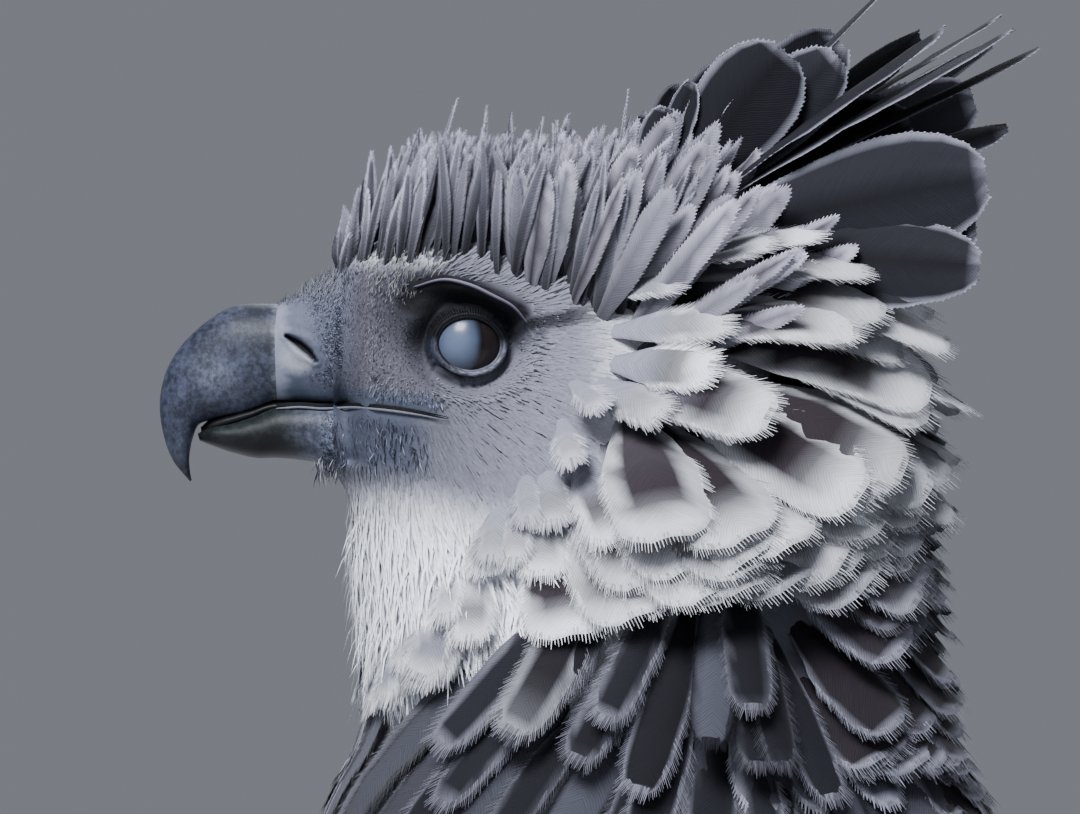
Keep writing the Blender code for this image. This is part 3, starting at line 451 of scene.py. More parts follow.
class Coat:
    """Feathers gathered into one mesh, each with its own patch on the bake map."""

    def __init__(self, name, material, slot, nodes=()):
        self.name, self.material, self.slot, self.nodes = name, material, slot, nodes
        self.points, self.faces = [], {3: [], 4: []}
        self.colours, self.barb, self.bake = [], [], []
        self.count = 0

    def add(self, points, faces, colours, barb, root_uv):
        """One lot of alike feathers: points (n, v, 3) and the faces of a single one."""
        number, size = points.shape[:2]
        offset = self.count + size * np.arange(number)[:, None, None]
        for group in faces:
            self.faces[group.shape[1]].append((group[None] + offset).reshape(-1, group.shape[1]))
        self.points.append(points.reshape(-1, 3))
        self.colours.append(colours.reshape(-1, 3))
        self.barb.append(barb.reshape(-1, 2) * 0.01)
        low = barb.min(axis=1, keepdims=True)
        span = np.maximum((barb.max(axis=1, keepdims=True) - low).max(axis=2, keepdims=True), 1e-6)
        self.bake.append((root_uv[:, None, :] + 0.003 * (barb - low) / span).reshape(-1, 2))
        self.count += number * size

    def build(self):
        faces = [np.concatenate(group) for group in self.faces.values() if group]
        obj = make_mesh(self.name, np.concatenate(self.points), faces, self.material,
                        np.concatenate(self.colours), np.concatenate(self.barb),
                        np.concatenate(self.bake))
        return finish_piece(obj, self.slot, *self.nodes)


def lay_vanes(coat, path, normals, widths, colours, root_uv, barbs=30, barb_length=2.0,
              camber=0.12, roll=0.0, barb_dark=0.0, curl=0.0, first_barb=0.3, rim_shade=0.75):
    """Vanes along paths (n, r, 3), with fine barb tips all round their free margin.

    colours is (n, r, columns, 3); barbs is how many barb tips each margin carries.
    """
    count, rows = path.shape[:2]
    columns = colours.shape[2]
    along = np.gradient(path, axis=1)
    across = unit(np.cross(normals, along))
    out = unit(np.cross(along, across))
    along = unit(along)
    steps = np.linalg.norm(np.diff(path, axis=1), axis=2)
    reach = np.concatenate([np.zeros((count, 1)), np.cumsum(steps, axis=1)], axis=1)
    s = vane_sides(columns)
    half = 0.5 * widths[:, :, None, None] * s[None, None, :, None]
    full = widths.max(axis=1)[:, None, None, None]
    bow = -camber * widths[:, :, None, None] * np.abs(s[None, None, :, None]) ** 1.6
    roll = np.broadcast_to(np.asarray(roll, float), (count,))[:, None, None, None]
    wavy = RNG.normal(0.0, 0.010, (count, rows, columns, 1)) * full
    grid = path[:, :, None] + half * across[:, :, None] + (bow + roll * half + wavy) * out[:, :, None]
    barb = np.stack([np.broadcast_to(reach[:, :, None], (count, rows, columns)),
                     np.broadcast_to(half[..., 0], (count, rows, columns))], axis=-1)
    r = np.concatenate([np.arange(rows), np.full(columns - 2, rows - 1), np.arange(rows)[::-1]])
    c = np.concatenate([np.zeros(rows, int), np.arange(1, columns - 1), np.full(rows, columns - 1)])
    rim, rim_tint, rim_uv = grid[:, r, c], colours[:, r, c], barb[:, r, c]
    # Painted shade: the vane's rim row is darkened by rim_shade, so the gaps between the bright barbs read
    # as shadow.
    shade = np.ones((rows, columns, 1))
    shade[r, c] = rim_shade
    points = [grid.reshape(count, -1, 3)]
    tints = [(colours * shade).reshape(count, -1, 3)]
    uvs = [barb.reshape(count, -1, 2)]
    sizes = np.linalg.norm(np.diff(rim, axis=1), axis=2).mean(axis=0)
    arc = np.concatenate([[0.0], np.cumsum(sizes)])
    spots = np.linspace(first_barb * 0.5, 1.0 - first_barb * 0.5, barbs) * arc[-1]
    k = np.clip(np.searchsorted(arc, spots) - 1, 0, len(sizes) - 1)
    f = ((spots - arc[k]) / np.maximum(sizes[k], 1e-9))[None, :, None]
    here = rim[:, k] + (rim[:, k + 1] - rim[:, k]) * f
    tangent = unit(rim[:, k + 1] - rim[:, k])
    row = r[k]
    outwards = -unit(np.cross(tangent, out[:, row]))
    beyond = here - path[:, row] + 2.0 * along[:, row] * (row > rows - 4)[None, :, None]
    facing = np.einsum("nbi,nbi->nb", outwards, beyond)
    outwards = outwards * np.where(facing < 0, -1.0, 1.0)[..., None]
    tint = rim_tint[:, k] + (rim_tint[:, k + 1] - rim_tint[:, k]) * f
    uv = rim_uv[:, k] + (rim_uv[:, k + 1] - rim_uv[:, k]) * f
    locks = np.repeat(RNG.uniform(0.65, 1.15, (count, barbs // 5 + 1)), 5, axis=1)[:, :barbs, None]
    long = barb_length * locks * RNG.uniform(0.55, 1.15, (count, barbs, 1))
    lean = unit(0.7 * outwards + 0.9 * along[:, row])
    spacing = spots[1] - spots[0]
    base = 0.40 * spacing * tangent
    end = 0.10 * spacing * tangent
    low = here - 0.6 * barb_length * lean + 0.18 * out[:, row]
    tip = here + long * (lean + curl * RNG.uniform(-1.0, 1.0, (count, barbs, 1)) * out[:, row])
    # Painted shade: about a third of the barbs are darkened at random for the shadow seen between barbs;
    # barb tips are painted a little lighter than their roots.
    dark = 1.0 - barb_dark * (RNG.random((count, barbs, 1)) < 0.35)
    points += [low - base, low + base, tip - end, tip + end]
    tints += [tint * dark, tint * dark, 1.05 * tint * dark, 1.05 * tint * dark]
    uvs += [uv - np.array([0.2, 0.0]), uv + np.array([0.2, 0.0]),
            uv + np.array([0.6, 0.3]) * long, uv + np.array([0.8, 0.3]) * long]
    k = rows * columns + np.arange(barbs)
    faces = [np.concatenate([grid_faces(rows, columns),
                             np.stack([k, k + barbs, k + 3 * barbs, k + 2 * barbs], axis=-1)])]
    coat.add(np.concatenate(points, axis=1), faces, np.concatenate(tints, axis=1),
             np.concatenate(uvs, axis=1), root_uv)


def vane_sides(columns):
    """Places across a vane from -1 to 1, closer together near its edges."""
    s = np.linspace(-1.0, 1.0, columns)
    return np.sign(s) * np.abs(s) ** 0.7


def vane_steps(rows, round_from=0.72):
    """Shares of a feather's length, closer together where its end rounds off."""
    shaft = np.linspace(0.0, round_from, rows - 5, endpoint=False)
    turn = np.linspace(0.0, 0.5 * math.pi, 6)[:-1]
    return np.concatenate([shaft, round_from + (1.0 - round_from) * np.sin(turn)])


# Share of the full width at the root, where it is reached, where the end starts, its powers
OUTLINES = {
    "broad": (0.45, 0.45, 0.62, 2.0, 0.55),
    "round": (0.38, 0.60, 0.70, 2.1, 0.50),
    "ruff": (0.34, 0.55, 0.76, 2.6, 0.46),
    "lance": (0.55, 0.50, 0.45, 1.8, 0.75),
    "blade": (0.45, 0.40, 0.66, 2.0, 0.60),
    "long": (0.35, 0.30, 0.80, 2.0, 0.60),
    "paddle": (0.16, 0.78, 0.74, 2.2, 0.50),
    "tail": (0.42, 0.85, 0.88, 2.2, 0.45),
}


def outline(kind, rows):
    root, widest, ends, power, close = OUTLINES[kind]
    t = vane_steps(rows)
    body = root + (1.0 - root) * smooth(0.0, widest, t)
    end = np.clip((t - ends) / (1.0 - ends), 0.0, 1.0)
    return body * np.clip(1.0 - end ** power, 0.003, 1.0) ** close


def vane_colours(centre, margin, share, rows, columns, tip_share=0.12, shaft=None):
    """Centre and margin colours (n, 3) or (n, rows, 3) spread over each vane, raggedly."""
    count = len(centre)
    s = np.abs(vane_sides(columns))
    t = vane_steps(rows)
    share = np.broadcast_to(np.asarray(share, float), (count,))[:, None, None]
    tip_share = np.broadcast_to(np.asarray(tip_share, float), (count,))[:, None, None]
    edge = smooth(0.0, 1.0, (s[None, None, :] - 1.0 + share) / (0.65 * share))
    end = smooth(0.0, 1.0, (t[None, :, None] - 1.0 + tip_share) / (0.6 * tip_share))
    mix = 1.0 - (1.0 - edge) * (1.0 - end)
    mix = np.clip(mix + 0.9 * mix * (1.0 - mix) * RNG.normal(0.0, 1.0, mix.shape), 0.0, 1.0)
    if centre.ndim == 2:
        centre = centre[:, None, :]
    colours = blend(centre[:, :, None, :], margin[:, None, None, :], mix)
    if shaft is not None:
        line = (s < 0.05)[None, None, :] * (1.0 - 0.6 * end) * np.ones_like(mix)
        colours = blend(colours, np.asarray(shaft), 0.7 * line)
    return colours


def scatter(form, start, end, row_step, side_step, jitter=0.3, span=(0.0, 2 * math.pi)):
    """Roots in staggered rows over a form, thinned where its rows crowd together."""
    places = np.linspace(start, end, 160)
    turns = np.linspace(span[0], span[1], 49)
    grid = form.bare(places[:, None], turns[None, :])
    run = np.linalg.norm(np.diff(grid, axis=0), axis=2)
    widest = run.max(axis=1)
    total = np.concatenate([[0.0], np.cumsum(widest)])
    rows = max(int(total[-1] / row_step), 1)
    found_places, found_turns = [], []
    for k in range(rows + 1):
        place = np.interp(total[-1] * k / rows, total, places)
        ring = form.bare(place, turns)
        arc = np.concatenate([[0.0], np.cumsum(np.linalg.norm(np.diff(ring, axis=0), axis=1))])
        number = max(int(arc[-1] / side_step), 3)
        spots = (np.arange(number) + 0.25 + 0.5 * (k % 2)) / number
        spots = spots + RNG.uniform(-jitter, jitter, number) / number
        turn = np.interp(arc[-1] * np.clip(spots, 0.0, 1.0), arc, turns)
        index = min(int(np.searchsorted(places, place)), len(places) - 2)
        local = np.interp(turn, turns, run[index]) / widest[index]
        keep = RNG.random(number) < np.clip(local * 1.15, 0.12, 1.0)
        found_places.append(np.full(number, place)[keep]
                            + RNG.uniform(-jitter, jitter, int(keep.sum())) * (end - start) / max(rows, 1))
        found_turns.append(turn[keep])
    return np.clip(np.concatenate(found_places), start, end), np.concatenate(found_turns)


def headed_path(form, places, turns, lengths, rows, wanted):
    """Places and turns of paths that run over a form in wanted directions (n, 3)."""
    steps = np.diff(vane_steps(rows))
    place, turn = places.copy(), turns.copy()
    path_places, path_turns = [place], [turn]
    for step in steps:
        inside = np.clip(place, 0.1, form.last - 0.1)
        ahead = (form.bare(inside + 0.05, turn) - form.bare(inside - 0.05, turn)) / 0.1
        around = (form.bare(inside, turn + 0.02) - form.bare(inside, turn - 0.02)) / 0.04
        aa = np.einsum("ij,ij->i", ahead, ahead)
        ab = np.einsum("ij,ij->i", ahead, around)
        bb = np.einsum("ij,ij->i", around, around)
        wa = np.einsum("ij,ij->i", wanted, ahead)
        wb = np.einsum("ij,ij->i", wanted, around)
        scale = np.maximum(aa * bb - ab * ab, 1e-6)
        by_place = (wa * bb - wb * ab) / scale
        by_turn = (wb * aa - wa * ab) / scale
        speed = np.linalg.norm(by_place[:, None] * ahead + by_turn[:, None] * around, axis=1)
        share = step * lengths / np.maximum(speed, 0.05)
        place, turn = place + by_place * share, turn + by_turn * share
        path_places.append(place)
        path_turns.append(turn)
    return np.stack(path_places, axis=1), np.stack(path_turns, axis=1)


def lay_on(coat, form, places, turns, lengths, widths, lifts, colours, kind="round",
           swing=0.0, limit=None, wanted=None, **looks):
    """Feathers laid over a form along its length, rising by lifts (n, rows)."""
    count, rows = lifts.shape
    speed = form.bare(np.minimum(places + 0.1, form.last), turns) - form.bare(places - 0.1, turns)
    speed = np.linalg.norm(speed, axis=1) / 0.2
    t = vane_steps(rows)[None, :]
    step = np.minimum(lengths / np.maximum(speed, 1.0), 3.0)
    path_places = places[:, None] + step[:, None] * t
    if limit is not None:
        path_places = np.minimum(path_places, limit)
    side_speed = np.linalg.norm(form.bare(places, turns + 0.05) - form.bare(places, turns - 0.05),
                                axis=1) / 0.1
    swing = np.broadcast_to(np.asarray(swing, float), (count,))
    path_turns = turns[:, None] + (swing * lengths / np.maximum(side_speed, 5.0))[:, None] * t
    if wanted is not None:
        path_places, path_turns = headed_path(form, places, turns, lengths, rows, wanted)
        path_places = np.minimum(path_places, limit)
    path = form.point(path_places, path_turns, lifts)
    normals = form.normal(path_places, path_turns)
    lay_vanes(coat, path, normals, widths[:, None] * outline(kind, rows)[None, :], colours,
              extent_uv(form, places, turns), **looks)


def root_shade(rows, shares, shades):
    """Painted shade along a vane: factors that darken it towards its root, for colours (n, rows, columns,
    3).
    """
    return np.interp(vane_steps(rows), shares, shades)[None, :, None, None]


def level_uv(across, height):
    """Places on the bake map along one level line."""
    return np.stack([across, np.full(len(across), height)], axis=-1)


def extent_uv(form, places, turns):
    """A root's place on the unwrap of the form that it grows from."""
    return np.stack([np.clip(places / form.last, 0.0, 0.99) * 0.98,
                     np.mod(turns / (2 * math.pi), 1.0) * 0.98], axis=-1)


def rising(count, rows, root, tip, power=0.8):
    """Lifts from a root depth to a tip height (each a number or n numbers)."""
    t = vane_steps(rows)[None, :] ** power
    root = np.broadcast_to(np.asarray(root, float), (count,))[:, None]
    tip = np.broadcast_to(np.asarray(tip, float), (count,))[:, None]
    return root + (tip - root) * t


def fold(turns):
    """Angle from the top, 0 to 180 degrees, the same on both sides."""
    return np.degrees(np.abs(np.mod(turns + math.pi, 2 * math.pi) - math.pi))


def jittered(colours, amount, count):
    return colours * RNG.uniform(1.0 - amount, 1.0 + amount, (count, 1))


# Markings: the same on the skin and on the coat

def body_colours(places, turns):
    """Centre and margin colours and the share of the margin, over head, neck and body."""
    angle = fold(turns)
    spot = BODY_FORM.bare(places, turns)
    y, z = profile(spot)
    light = smooth(9.6, 8.4, places) * smooth(105.0, 60.0, y - 0.55 * z)
    light = light * smooth(-118.0, -86.0, z + 0.32 * y)
    centre = blend(SLATE, 0.82 * WHITE, light)
    margin = blend(0.75 * PALE, WHITE, light)
    share = 0.38 + 0.1 * light
    throat = smooth(95.0, 125.0, angle) * smooth(9.0, 7.6, places)
    centre = blend(centre, WHITE, throat)
    margin = blend(margin, WHITE, throat)
    nape = smooth(8.0, 5.0, places) * smooth(70.0, 25.0, angle)
    centre = blend(centre, 0.7 * GREY + 0.3 * BROWNISH, 0.75 * nape)
    front = smooth(140.0, 160.0, angle) * smooth(8.6, 9.4, places) * smooth(10.9, 10.3, places)
    centre = blend(centre, 0.85 * PALE, front)
    margin = blend(margin, WHITE, front)
    belly = smooth(96.0, 112.0, angle + 3.0 * (places - 12.0)) * smooth(11.7, 12.3, places)
    centre = blend(centre, WHITE, belly)
    margin = blend(margin, WHITE, belly)
    back = smooth(9.8, 10.6, places) * (1.0 - belly) * (1.0 - front)
    margin = blend(margin, 0.42 * GREY + 0.4 * SLATE, 0.85 * back)
    share = share * (1.0 - 0.45 * back)
    return centre, margin, share


# The head's skin

def polyline_distance(y, z, line):
    """Distance to a line in the profile and how far along it the nearest point is."""
    best = np.full(y.shape, 1e9)
    along = np.zeros(y.shape)
    for k in range(len(line) - 1):
        a, b = np.array(line[k]), np.array(line[k + 1])
        d = b - a
        t = np.clip(((y - a[0]) * d[0] + (z - a[1]) * d[1]) / (d @ d), 0.0, 1.0)
        gap = np.hypot(y - a[0] - t * d[0], z - a[1] - t * d[1])
        closer = gap < best
        best = np.where(closer, gap, best)
        along = np.where(closer, (k + t) / (len(line) - 1), along)
    return best, along


def eye_ring(y, z):
    """Distance from the middle of the eye, 1 along its bare ring."""
    return np.sqrt((y / EYE_RING_LENGTH) ** 2 + ((z + 0.2) / EYE_RING_HEIGHT) ** 2)


def face_relief(points):
    """Skin points moved for the eye's hollow, the brow, the lips and the lores."""
    points = np.array(points, float)
    x, y, z = points[..., 0], points[..., 1], points[..., 2] - EYE_HEIGHT
    side = np.sign(x)
    depth = np.abs(x)
    on_side = smooth(12.0, 22.0, depth)
    ring = eye_ring(y, z)
    ball_x = EYE_X + np.sqrt(np.clip(EYE_RADIUS ** 2 - y ** 2 - z ** 2, 4.0, None))
    wanted = ball_x + 0.9
    near = smooth(1.9, 1.05, ring)
    depth = depth + on_side * near * (wanted - depth)
    depth = depth - on_side * smooth(0.98, 0.80, ring) * 14.0
    gap, along = polyline_distance(y, z, BROW)
    swell = np.exp(-(gap / 3.1) ** 2) * np.sin(math.pi * np.clip(0.08 + 0.86 * along, 0, 1)) ** 0.6
    depth = depth + on_side * 5.6 * swell
    gap, along = polyline_distance(y, z - 2.6, GAPE)
    lip = smooth(-37.0, -30.0, y)
    depth = depth + on_side * 0.9 * lip * np.exp(-(gap / 2.2) ** 2) * smooth(1.0, 0.75, along)
    gap, along = polyline_distance(y, z + 3.4, GAPE)
    depth = depth + on_side * 0.8 * lip * np.exp(-(gap / 2.4) ** 2) * smooth(1.0, 0.7, along)
    near = smooth(-27.0, -35.5, y) * smooth(-34.0, -31.0, z)
    over = 17.2 * np.clip(1.0 - np.abs((z - 1.0) / 17.6) ** 2.2, 0.0, 1.0) ** 0.45
    under = 13.8 * np.clip(1.0 - np.abs((z + 24.6) / 8.4) ** 2.4, 0.0, 1.0) ** 0.42
    meeting = np.maximum(np.maximum(over, under) + 0.25, 3.0)
    depth = depth + on_side * near * np.minimum(meeting - depth, 0.0)
    under_brow = np.exp(-((y + 1.0) / 9.0) ** 2 - ((z - 11.2 + 0.25 * (y + 1.0)) / 2.6) ** 2)
    depth = depth - on_side * 2.2 * under_brow * smooth(1.2, 1.5, ring)
    lores = np.exp(-((y + 24.0) / 9.0) ** 2 - ((z - 3.0) / 8.0) ** 2)
    depth = depth - on_side * 1.6 * lores
    points[..., 0] = np.where(depth > 0.0, side * depth, points[..., 0])
    return points


def jaw_share(y, z):
    """1 on the bare band of the lower jaw behind the bill, 0 away from it."""
    return smooth(-8.0, -17.0, y) * smooth(-15.5, -17.5, z) * smooth(-36.0, -31.0, z)


def throat_share(y, z):
    """1 on the white throat, 0 on the grey cheek and the lower jaw."""
    start = -33.0 - 5.0 * smooth(-15.0, 10.0, y)
    return smooth(start, start - 17.0, z) * (1.0 - jaw_share(y, z))


def face_tint(points):
    """Colours of the bare face: dark round the eye, grey before it, pale behind, with painted shade under
    the brow.
    """
    y, z = profile(points)
    ring = eye_ring(y, z)
    colour = blend([0.115, 0.117, 0.145], [0.20, 0.203, 0.25], smooth(-6.0, 34.0, y - 0.3 * z))
    lore = smooth(-4.0, -12.0, y) * smooth(-20.0, -12.0, z)
    near_cere = smooth(-27.0, -37.0, y)
    colour = blend(colour, blend([0.085, 0.083, 0.105], [0.064, 0.070, 0.098], near_cere), lore)
    # Dark socket before the eye under the front of the brow: dark skin with painted shade over it.
    corner = smooth(17.0, 5.0, np.hypot(y + 13.0, 0.8 * (z - 11.0)))
    colour = blend(colour, 0.8 * SLATE, 0.9 * corner * smooth(26.0, 18.0, z))
    # Painted shade of the brow darkens the upper half round the eye; next to the lids a dark bare ring runs
    # all round.
    dark = smooth(2.0, 1.15, ring) * smooth(-4.0, 3.0, z)
    dark = np.maximum(dark, 0.7 * smooth(1.32, 1.08, ring))
    # A dark band just under the brow line: dark skin with the painted shadow of the overhanging brow.
    gap, along = polyline_distance(y, z + 2.6, BROW)
    dark = np.maximum(dark, smooth(6.4, 3.4, gap) * smooth(1.0, 0.85, along))
    streak, _ = polyline_distance(y, z, EYE_STREAK)
    dark = np.maximum(dark, 0.85 * smooth(3.4, 0.8, streak))
    colour = blend(colour, 0.6 * DARK, dark)
    colour = blend(colour, [0.060, 0.068, 0.098], jaw_share(y, z))
    gap, along = polyline_distance(y, z - 1.8, GAPE)
    return blend(colour, [0.055, 0.066, 0.096], 0.9 * smooth(4.2, 2.0, gap) * smooth(1.0, 0.86, along))


def tube(points, radii, sides, across=(1.0, 0.0, 0.0), flatten=1.0, closed=False):
    """Ring points along a path and its faces, with flat ends unless it is closed."""
    points = np.asarray(points, float)
    count = len(points)
    if closed:
        ahead = unit(np.roll(points, -1, axis=0) - np.roll(points, 1, axis=0))
    else:
        ahead = unit(np.gradient(points, axis=0))
    across = np.asarray(across, float)
    rings = []
    turns = 2 * math.pi * np.arange(sides) / sides
    for k in range(count):
        across = unit(across - np.dot(across, ahead[k]) * ahead[k])
        second = np.cross(ahead[k], across)
        rings.append(points[k] + radii[k] * (np.cos(turns)[:, None] * across
                                             + flatten * np.sin(turns)[:, None] * second))
    verts = np.concatenate(rings)
    faces = grid_faces(count, sides, closed=True)
    if closed:
        k = np.arange(sides)
        n = (k + 1) % sides
        low = (count - 1) * sides
        faces = np.concatenate([faces, np.stack([low + k, low + n, n, k], axis=-1)])
    else:
        middle = len(verts)
        verts = np.concatenate([verts, points[:1], points[-1:]])
        k = np.arange(sides)
        n = (k + 1) % sides
        low = (count - 1) * sides
        ends = np.concatenate([
            np.stack([n, k, np.full(sides, middle)], axis=-1),
            np.stack([low + k, low + n, np.full(sides, middle + 1)], axis=-1)])
        return verts, [faces, ends]
    return verts, [faces]


def join_shapes(shapes):
    """Several (points, face groups, colours) as one."""
    points, colours, faces = [], [], {3: [], 4: []}
    count = 0
    for verts, groups, tint in shapes:
        points.append(np.asarray(verts, float).reshape(-1, 3))
        colours.append(np.broadcast_to(np.asarray(tint, float), points[-1].shape).copy())
        for group in groups:
            faces[group.shape[1]].append(group + count)
        count += len(points[-1])
    return (np.concatenate(points), [np.concatenate(g) for g in faces.values() if g],
            np.concatenate(colours))


def closed_form(form, start, end, rings, sides, lift=0.0, relief=None):
    """Rings over a form with a fan at each end."""
    turns = 2 * math.pi * np.arange(sides) / sides
    places = np.linspace(start, end, rings)
    grid = form.point(places[:, None], turns[None, :], np.full((rings, sides), lift))
    if relief is not None:
        grid = relief(grid)
    verts = grid.reshape(-1, 3)
    middle = len(verts)
    verts = np.concatenate([verts, grid[0].mean(axis=0)[None], grid[-1].mean(axis=0)[None]])
    k = np.arange(sides)
    n = (k + 1) % sides
    low = (rings - 1) * sides
    ends = np.concatenate([
        np.stack([n, k, np.full(sides, middle)], axis=-1),
        np.stack([low + k, low + n, np.full(sides, middle + 1)], axis=-1)])
    return verts, [grid_faces(rings, sides, closed=True), ends]


def make_skin(paint):
    """One skin for head, neck, body and thighs, marked like the coat over it."""
    rings_head, sides = 190, 240
    places = np.concatenate([np.linspace(0.0, HEAD_END, rings_head, endpoint=False),
                             np.linspace(HEAD_END, TAIL_START, 110)])
    turns = 2 * math.pi * np.arange(sides) / sides
    lift = -0.5 - 0.9 * smooth(4.0, 7.0, places)
    grid = BODY_FORM.point(places[:, None], turns[None, :], np.repeat(lift[:, None], sides, axis=1))
    grid = face_relief(grid)
    centre, margin, _ = body_colours(np.repeat(places, sides), np.tile(turns, len(places)))
    coat = 0.6 * centre + 0.4 * margin
    bare = face_tint(grid.reshape(-1, 3))
    spot = grid.reshape(-1, 3)
    height = spot[:, 2] - EYE_HEIGHT
    bare = blend(0.8 * bare, 0.8 * WHITE, throat_share(spot[:, 1], height))
    face = smooth(30.0, 16.0, spot[:, 1]) * smooth(-75.0, -60.0, height) * smooth(26.0, 19.0, height)
    colours = blend(coat, bare, face)
    shapes = [(spot, [grid_faces(len(places), sides, closed=True)], colours)]
    for side in (1, -1):
        verts, groups = closed_form(Stack(THIGH, side), 0.0, 5.0, 40, 48, -1.2)
        shapes.append((verts, groups, 0.8 * WHITE))
    verts, groups, colours = join_shapes(shapes)
    plain_piece("skin", verts, groups, paint, colours, "plumage_pale",
                "head", "neck", "torso", "thigh_left", "thigh_right")


def make_lids(paint):
    """Dark lids on the eyeball, their upper half with painted shade from the brow, and the bare rim of the
    brow over them with a painted highlight along its top.
    """
    shapes = []
    for side in (1, -1):
        turns = 2 * math.pi * np.arange(72) / 72
        y = 0.7 + 8.7 * np.cos(turns)
        z = 7.4 * np.sin(turns) - 0.35 * np.cos(turns)
        x = EYE_X + np.sqrt(EYE_RADIUS ** 2 - y ** 2 - z ** 2) + 0.25
        upper = smooth(-0.2, 0.7, np.sin(turns))
        path = np.stack([side * (x + 0.7 * upper), y, EYE_HEIGHT + z], axis=-1)
        for grow, radius, low_tint in ((1.0, 0.55, 0.6 * DARK), (1.09, 0.75, 0.35 * GREY)):
            ring = path.copy()
            ring[:, 1] *= grow
            ring[:, 2] = EYE_HEIGHT + (ring[:, 2] - EYE_HEIGHT) * grow
            ring[:, 0] += side * 0.1 * (grow - 1.0)
            verts, groups = tube(ring, np.full(72, radius), 12, closed=True)
            # Upper half of each lid ring painted near-black: dark lid skin with the brow's painted shade.
            shade = np.repeat(upper, 12)
            colour = blend(low_tint, 0.5 * DARK, smooth(0.0, 0.5, shade))
            corner = smooth(0.2, 0.9, 0.55 * np.cos(turns) - 0.85 * np.sin(turns))
            pale = np.repeat(corner, 12) * RNG.uniform(0.4, 1.0, len(verts) - len(verts) % 12)
            colour = blend(colour, 1.3 * GREY, pale)
            if grow > 1.0:
                colour = colour * RNG.uniform(0.35, 1.9, (len(verts), 1))
            shapes.append((verts, groups, colour))
        run = curve_run(BROW, 40)
        x = skin_x(run[:, 0], run[:, 1], side) + side * 0.1
        x = np.convolve(np.pad(x, 3, mode="edge"), np.ones(7) / 7, mode="valid")
        line = np.stack([x, run[:, 0], EYE_HEIGHT + run[:, 1]], axis=-1)
        swell = np.sin(math.pi * np.linspace(0.06, 0.97, 40)) ** 0.5
        verts, groups = tube(line, 0.65 * swell, 12)
        # Painted highlight: the brow rim is painted pale violet along its top and dark below.
        middle = np.concatenate([np.repeat(line[:, 2], 12), line[[0, -1], 2]])
        rim = smooth(-0.3, 0.7, verts[:, 2] - middle)
        shapes.append((verts, groups, blend(0.5 * DARK, [0.16, 0.15, 0.22], rim)))
    verts, groups, colours = join_shapes(shapes)
    plain_piece("lids", verts, groups, paint, colours, "face_skin")


def skin_x(y, z, side):
    """Depth of the relieved skin at a place of the profile, from the nearest sample."""
    places = np.linspace(0.0, 8.0, 161)
    turns = np.radians(np.linspace(20.0, 165.0, 146))
    grid = face_relief(BODY_FORM.bare(places[:, None], turns[None, :])).reshape(-1, 3)
    found = []
    for py, pz in zip(np.atleast_1d(y), np.atleast_1d(z)):
        k = np.argmin((grid[:, 1] - py) ** 2 + (grid[:, 2] - EYE_HEIGHT - pz) ** 2)
        found.append(grid[k, 0])
    return side * np.array(found)


def make_lips(paint):
    """The dark line of the gape, painted shade in its groove, with the thin pale edge of the lower lip under
    it.
    """
    shapes = []
    front = [(-52.6, -16.9), (-46.0, -16.5)]
    for side in (1, -1):
        run = curve_run(front + GAPE, 40)
        # The two dark tubes stand for the shade in the groove of the gape; the pale tube is the lower lip's
        # own edge.
        for rise, radius, tint, proud in ((0.35, 0.42, 0.5 * DARK, 0.0), (-0.62, 0.36, 0.42 * PALE, 0.45),
                                          (-0.1, 0.38, 0.3 * DARK, 0.30)):
            x = skin_x(run[:, 0], run[:, 1] + rise, side) + side * proud
            cere_x = side * (np.interp(run[:, 0], [-52.6, -44.8, -37.5], [8.0, 9.8, 11.4]) + proud)
            x = np.where(run[:, 0] < -37.0, cere_x, x)
            x = np.convolve(np.pad(x, 2, mode="edge"), np.ones(5) / 5, mode="valid")
            path = np.stack([x, run[:, 0], EYE_HEIGHT + run[:, 1] + rise], axis=-1)
            radii = radius * np.interp(np.linspace(0, 1, 40), [0.0, 0.1, 0.75, 1.0], [0.4, 1.0, 1.0, 0.15])
            verts, groups = tube(path, radii, 10)
            shapes.append((verts, groups, tint))
    verts, groups, colours = join_shapes(shapes)
    plain_piece("lips", verts, groups, paint, colours, "face_skin")


# Bill, cere and eyes

def make_bill(horn):
    upper = Form(UPPER_BILL, 2.2, EYE_HEIGHT)
    verts, groups = closed_form(upper, 0.0, upper.last, 120, 96)
    y, z = profile(verts)
    tint = blend([0.045, 0.052, 0.082], [0.050, 0.058, 0.085], smooth(-76.0, -56.0, y))
    tint = blend(tint, [0.10, 0.11, 0.15], smooth(9.0, 0.0, np.hypot(y + 70.0, z + 8.0)))
    tint = blend(tint, [0.018, 0.020, 0.028], 0.8 * smooth(-24.0, -35.0, z))
    tint = 0.42 * blend(tint, [0.15, 0.16, 0.20], 0.8 * smooth(-54.8, -52.4, y))
    plain_piece("bill_top", verts, groups, horn, tint, "bill_horn", "bill_upper")
    lower = Form(LOWER_BILL, 2.4, EYE_HEIGHT)
    verts, groups = closed_form(lower, 0.0, lower.last, 70, 80)
    y, z = profile(verts)
    tint = blend([0.022, 0.030, 0.032], [0.065, 0.075, 0.10], smooth(-53.0, -47.0, y))
    tint = 0.28 * blend(tint, [0.006, 0.007, 0.009], smooth(-22.5, -27.5, z) * smooth(-44.0, -54.0, y))
    tint = blend(tint, [0.050, 0.058, 0.084], smooth(-46.0, -38.0, y))
    # The mouth lining between the bills is painted near-black: painted shade in the gap.
    mouth, mouth_groups = closed_form(Form(MOUTH, 2.0, EYE_HEIGHT), 0.0, len(MOUTH) - 1.0, 30, 24)
    verts, groups, tint = join_shapes([(verts, groups, tint), (mouth, mouth_groups, 0.12 * DARK)])
    plain_piece("bill_bottom", verts, groups, horn, tint, "bill_horn", "bill_lower")


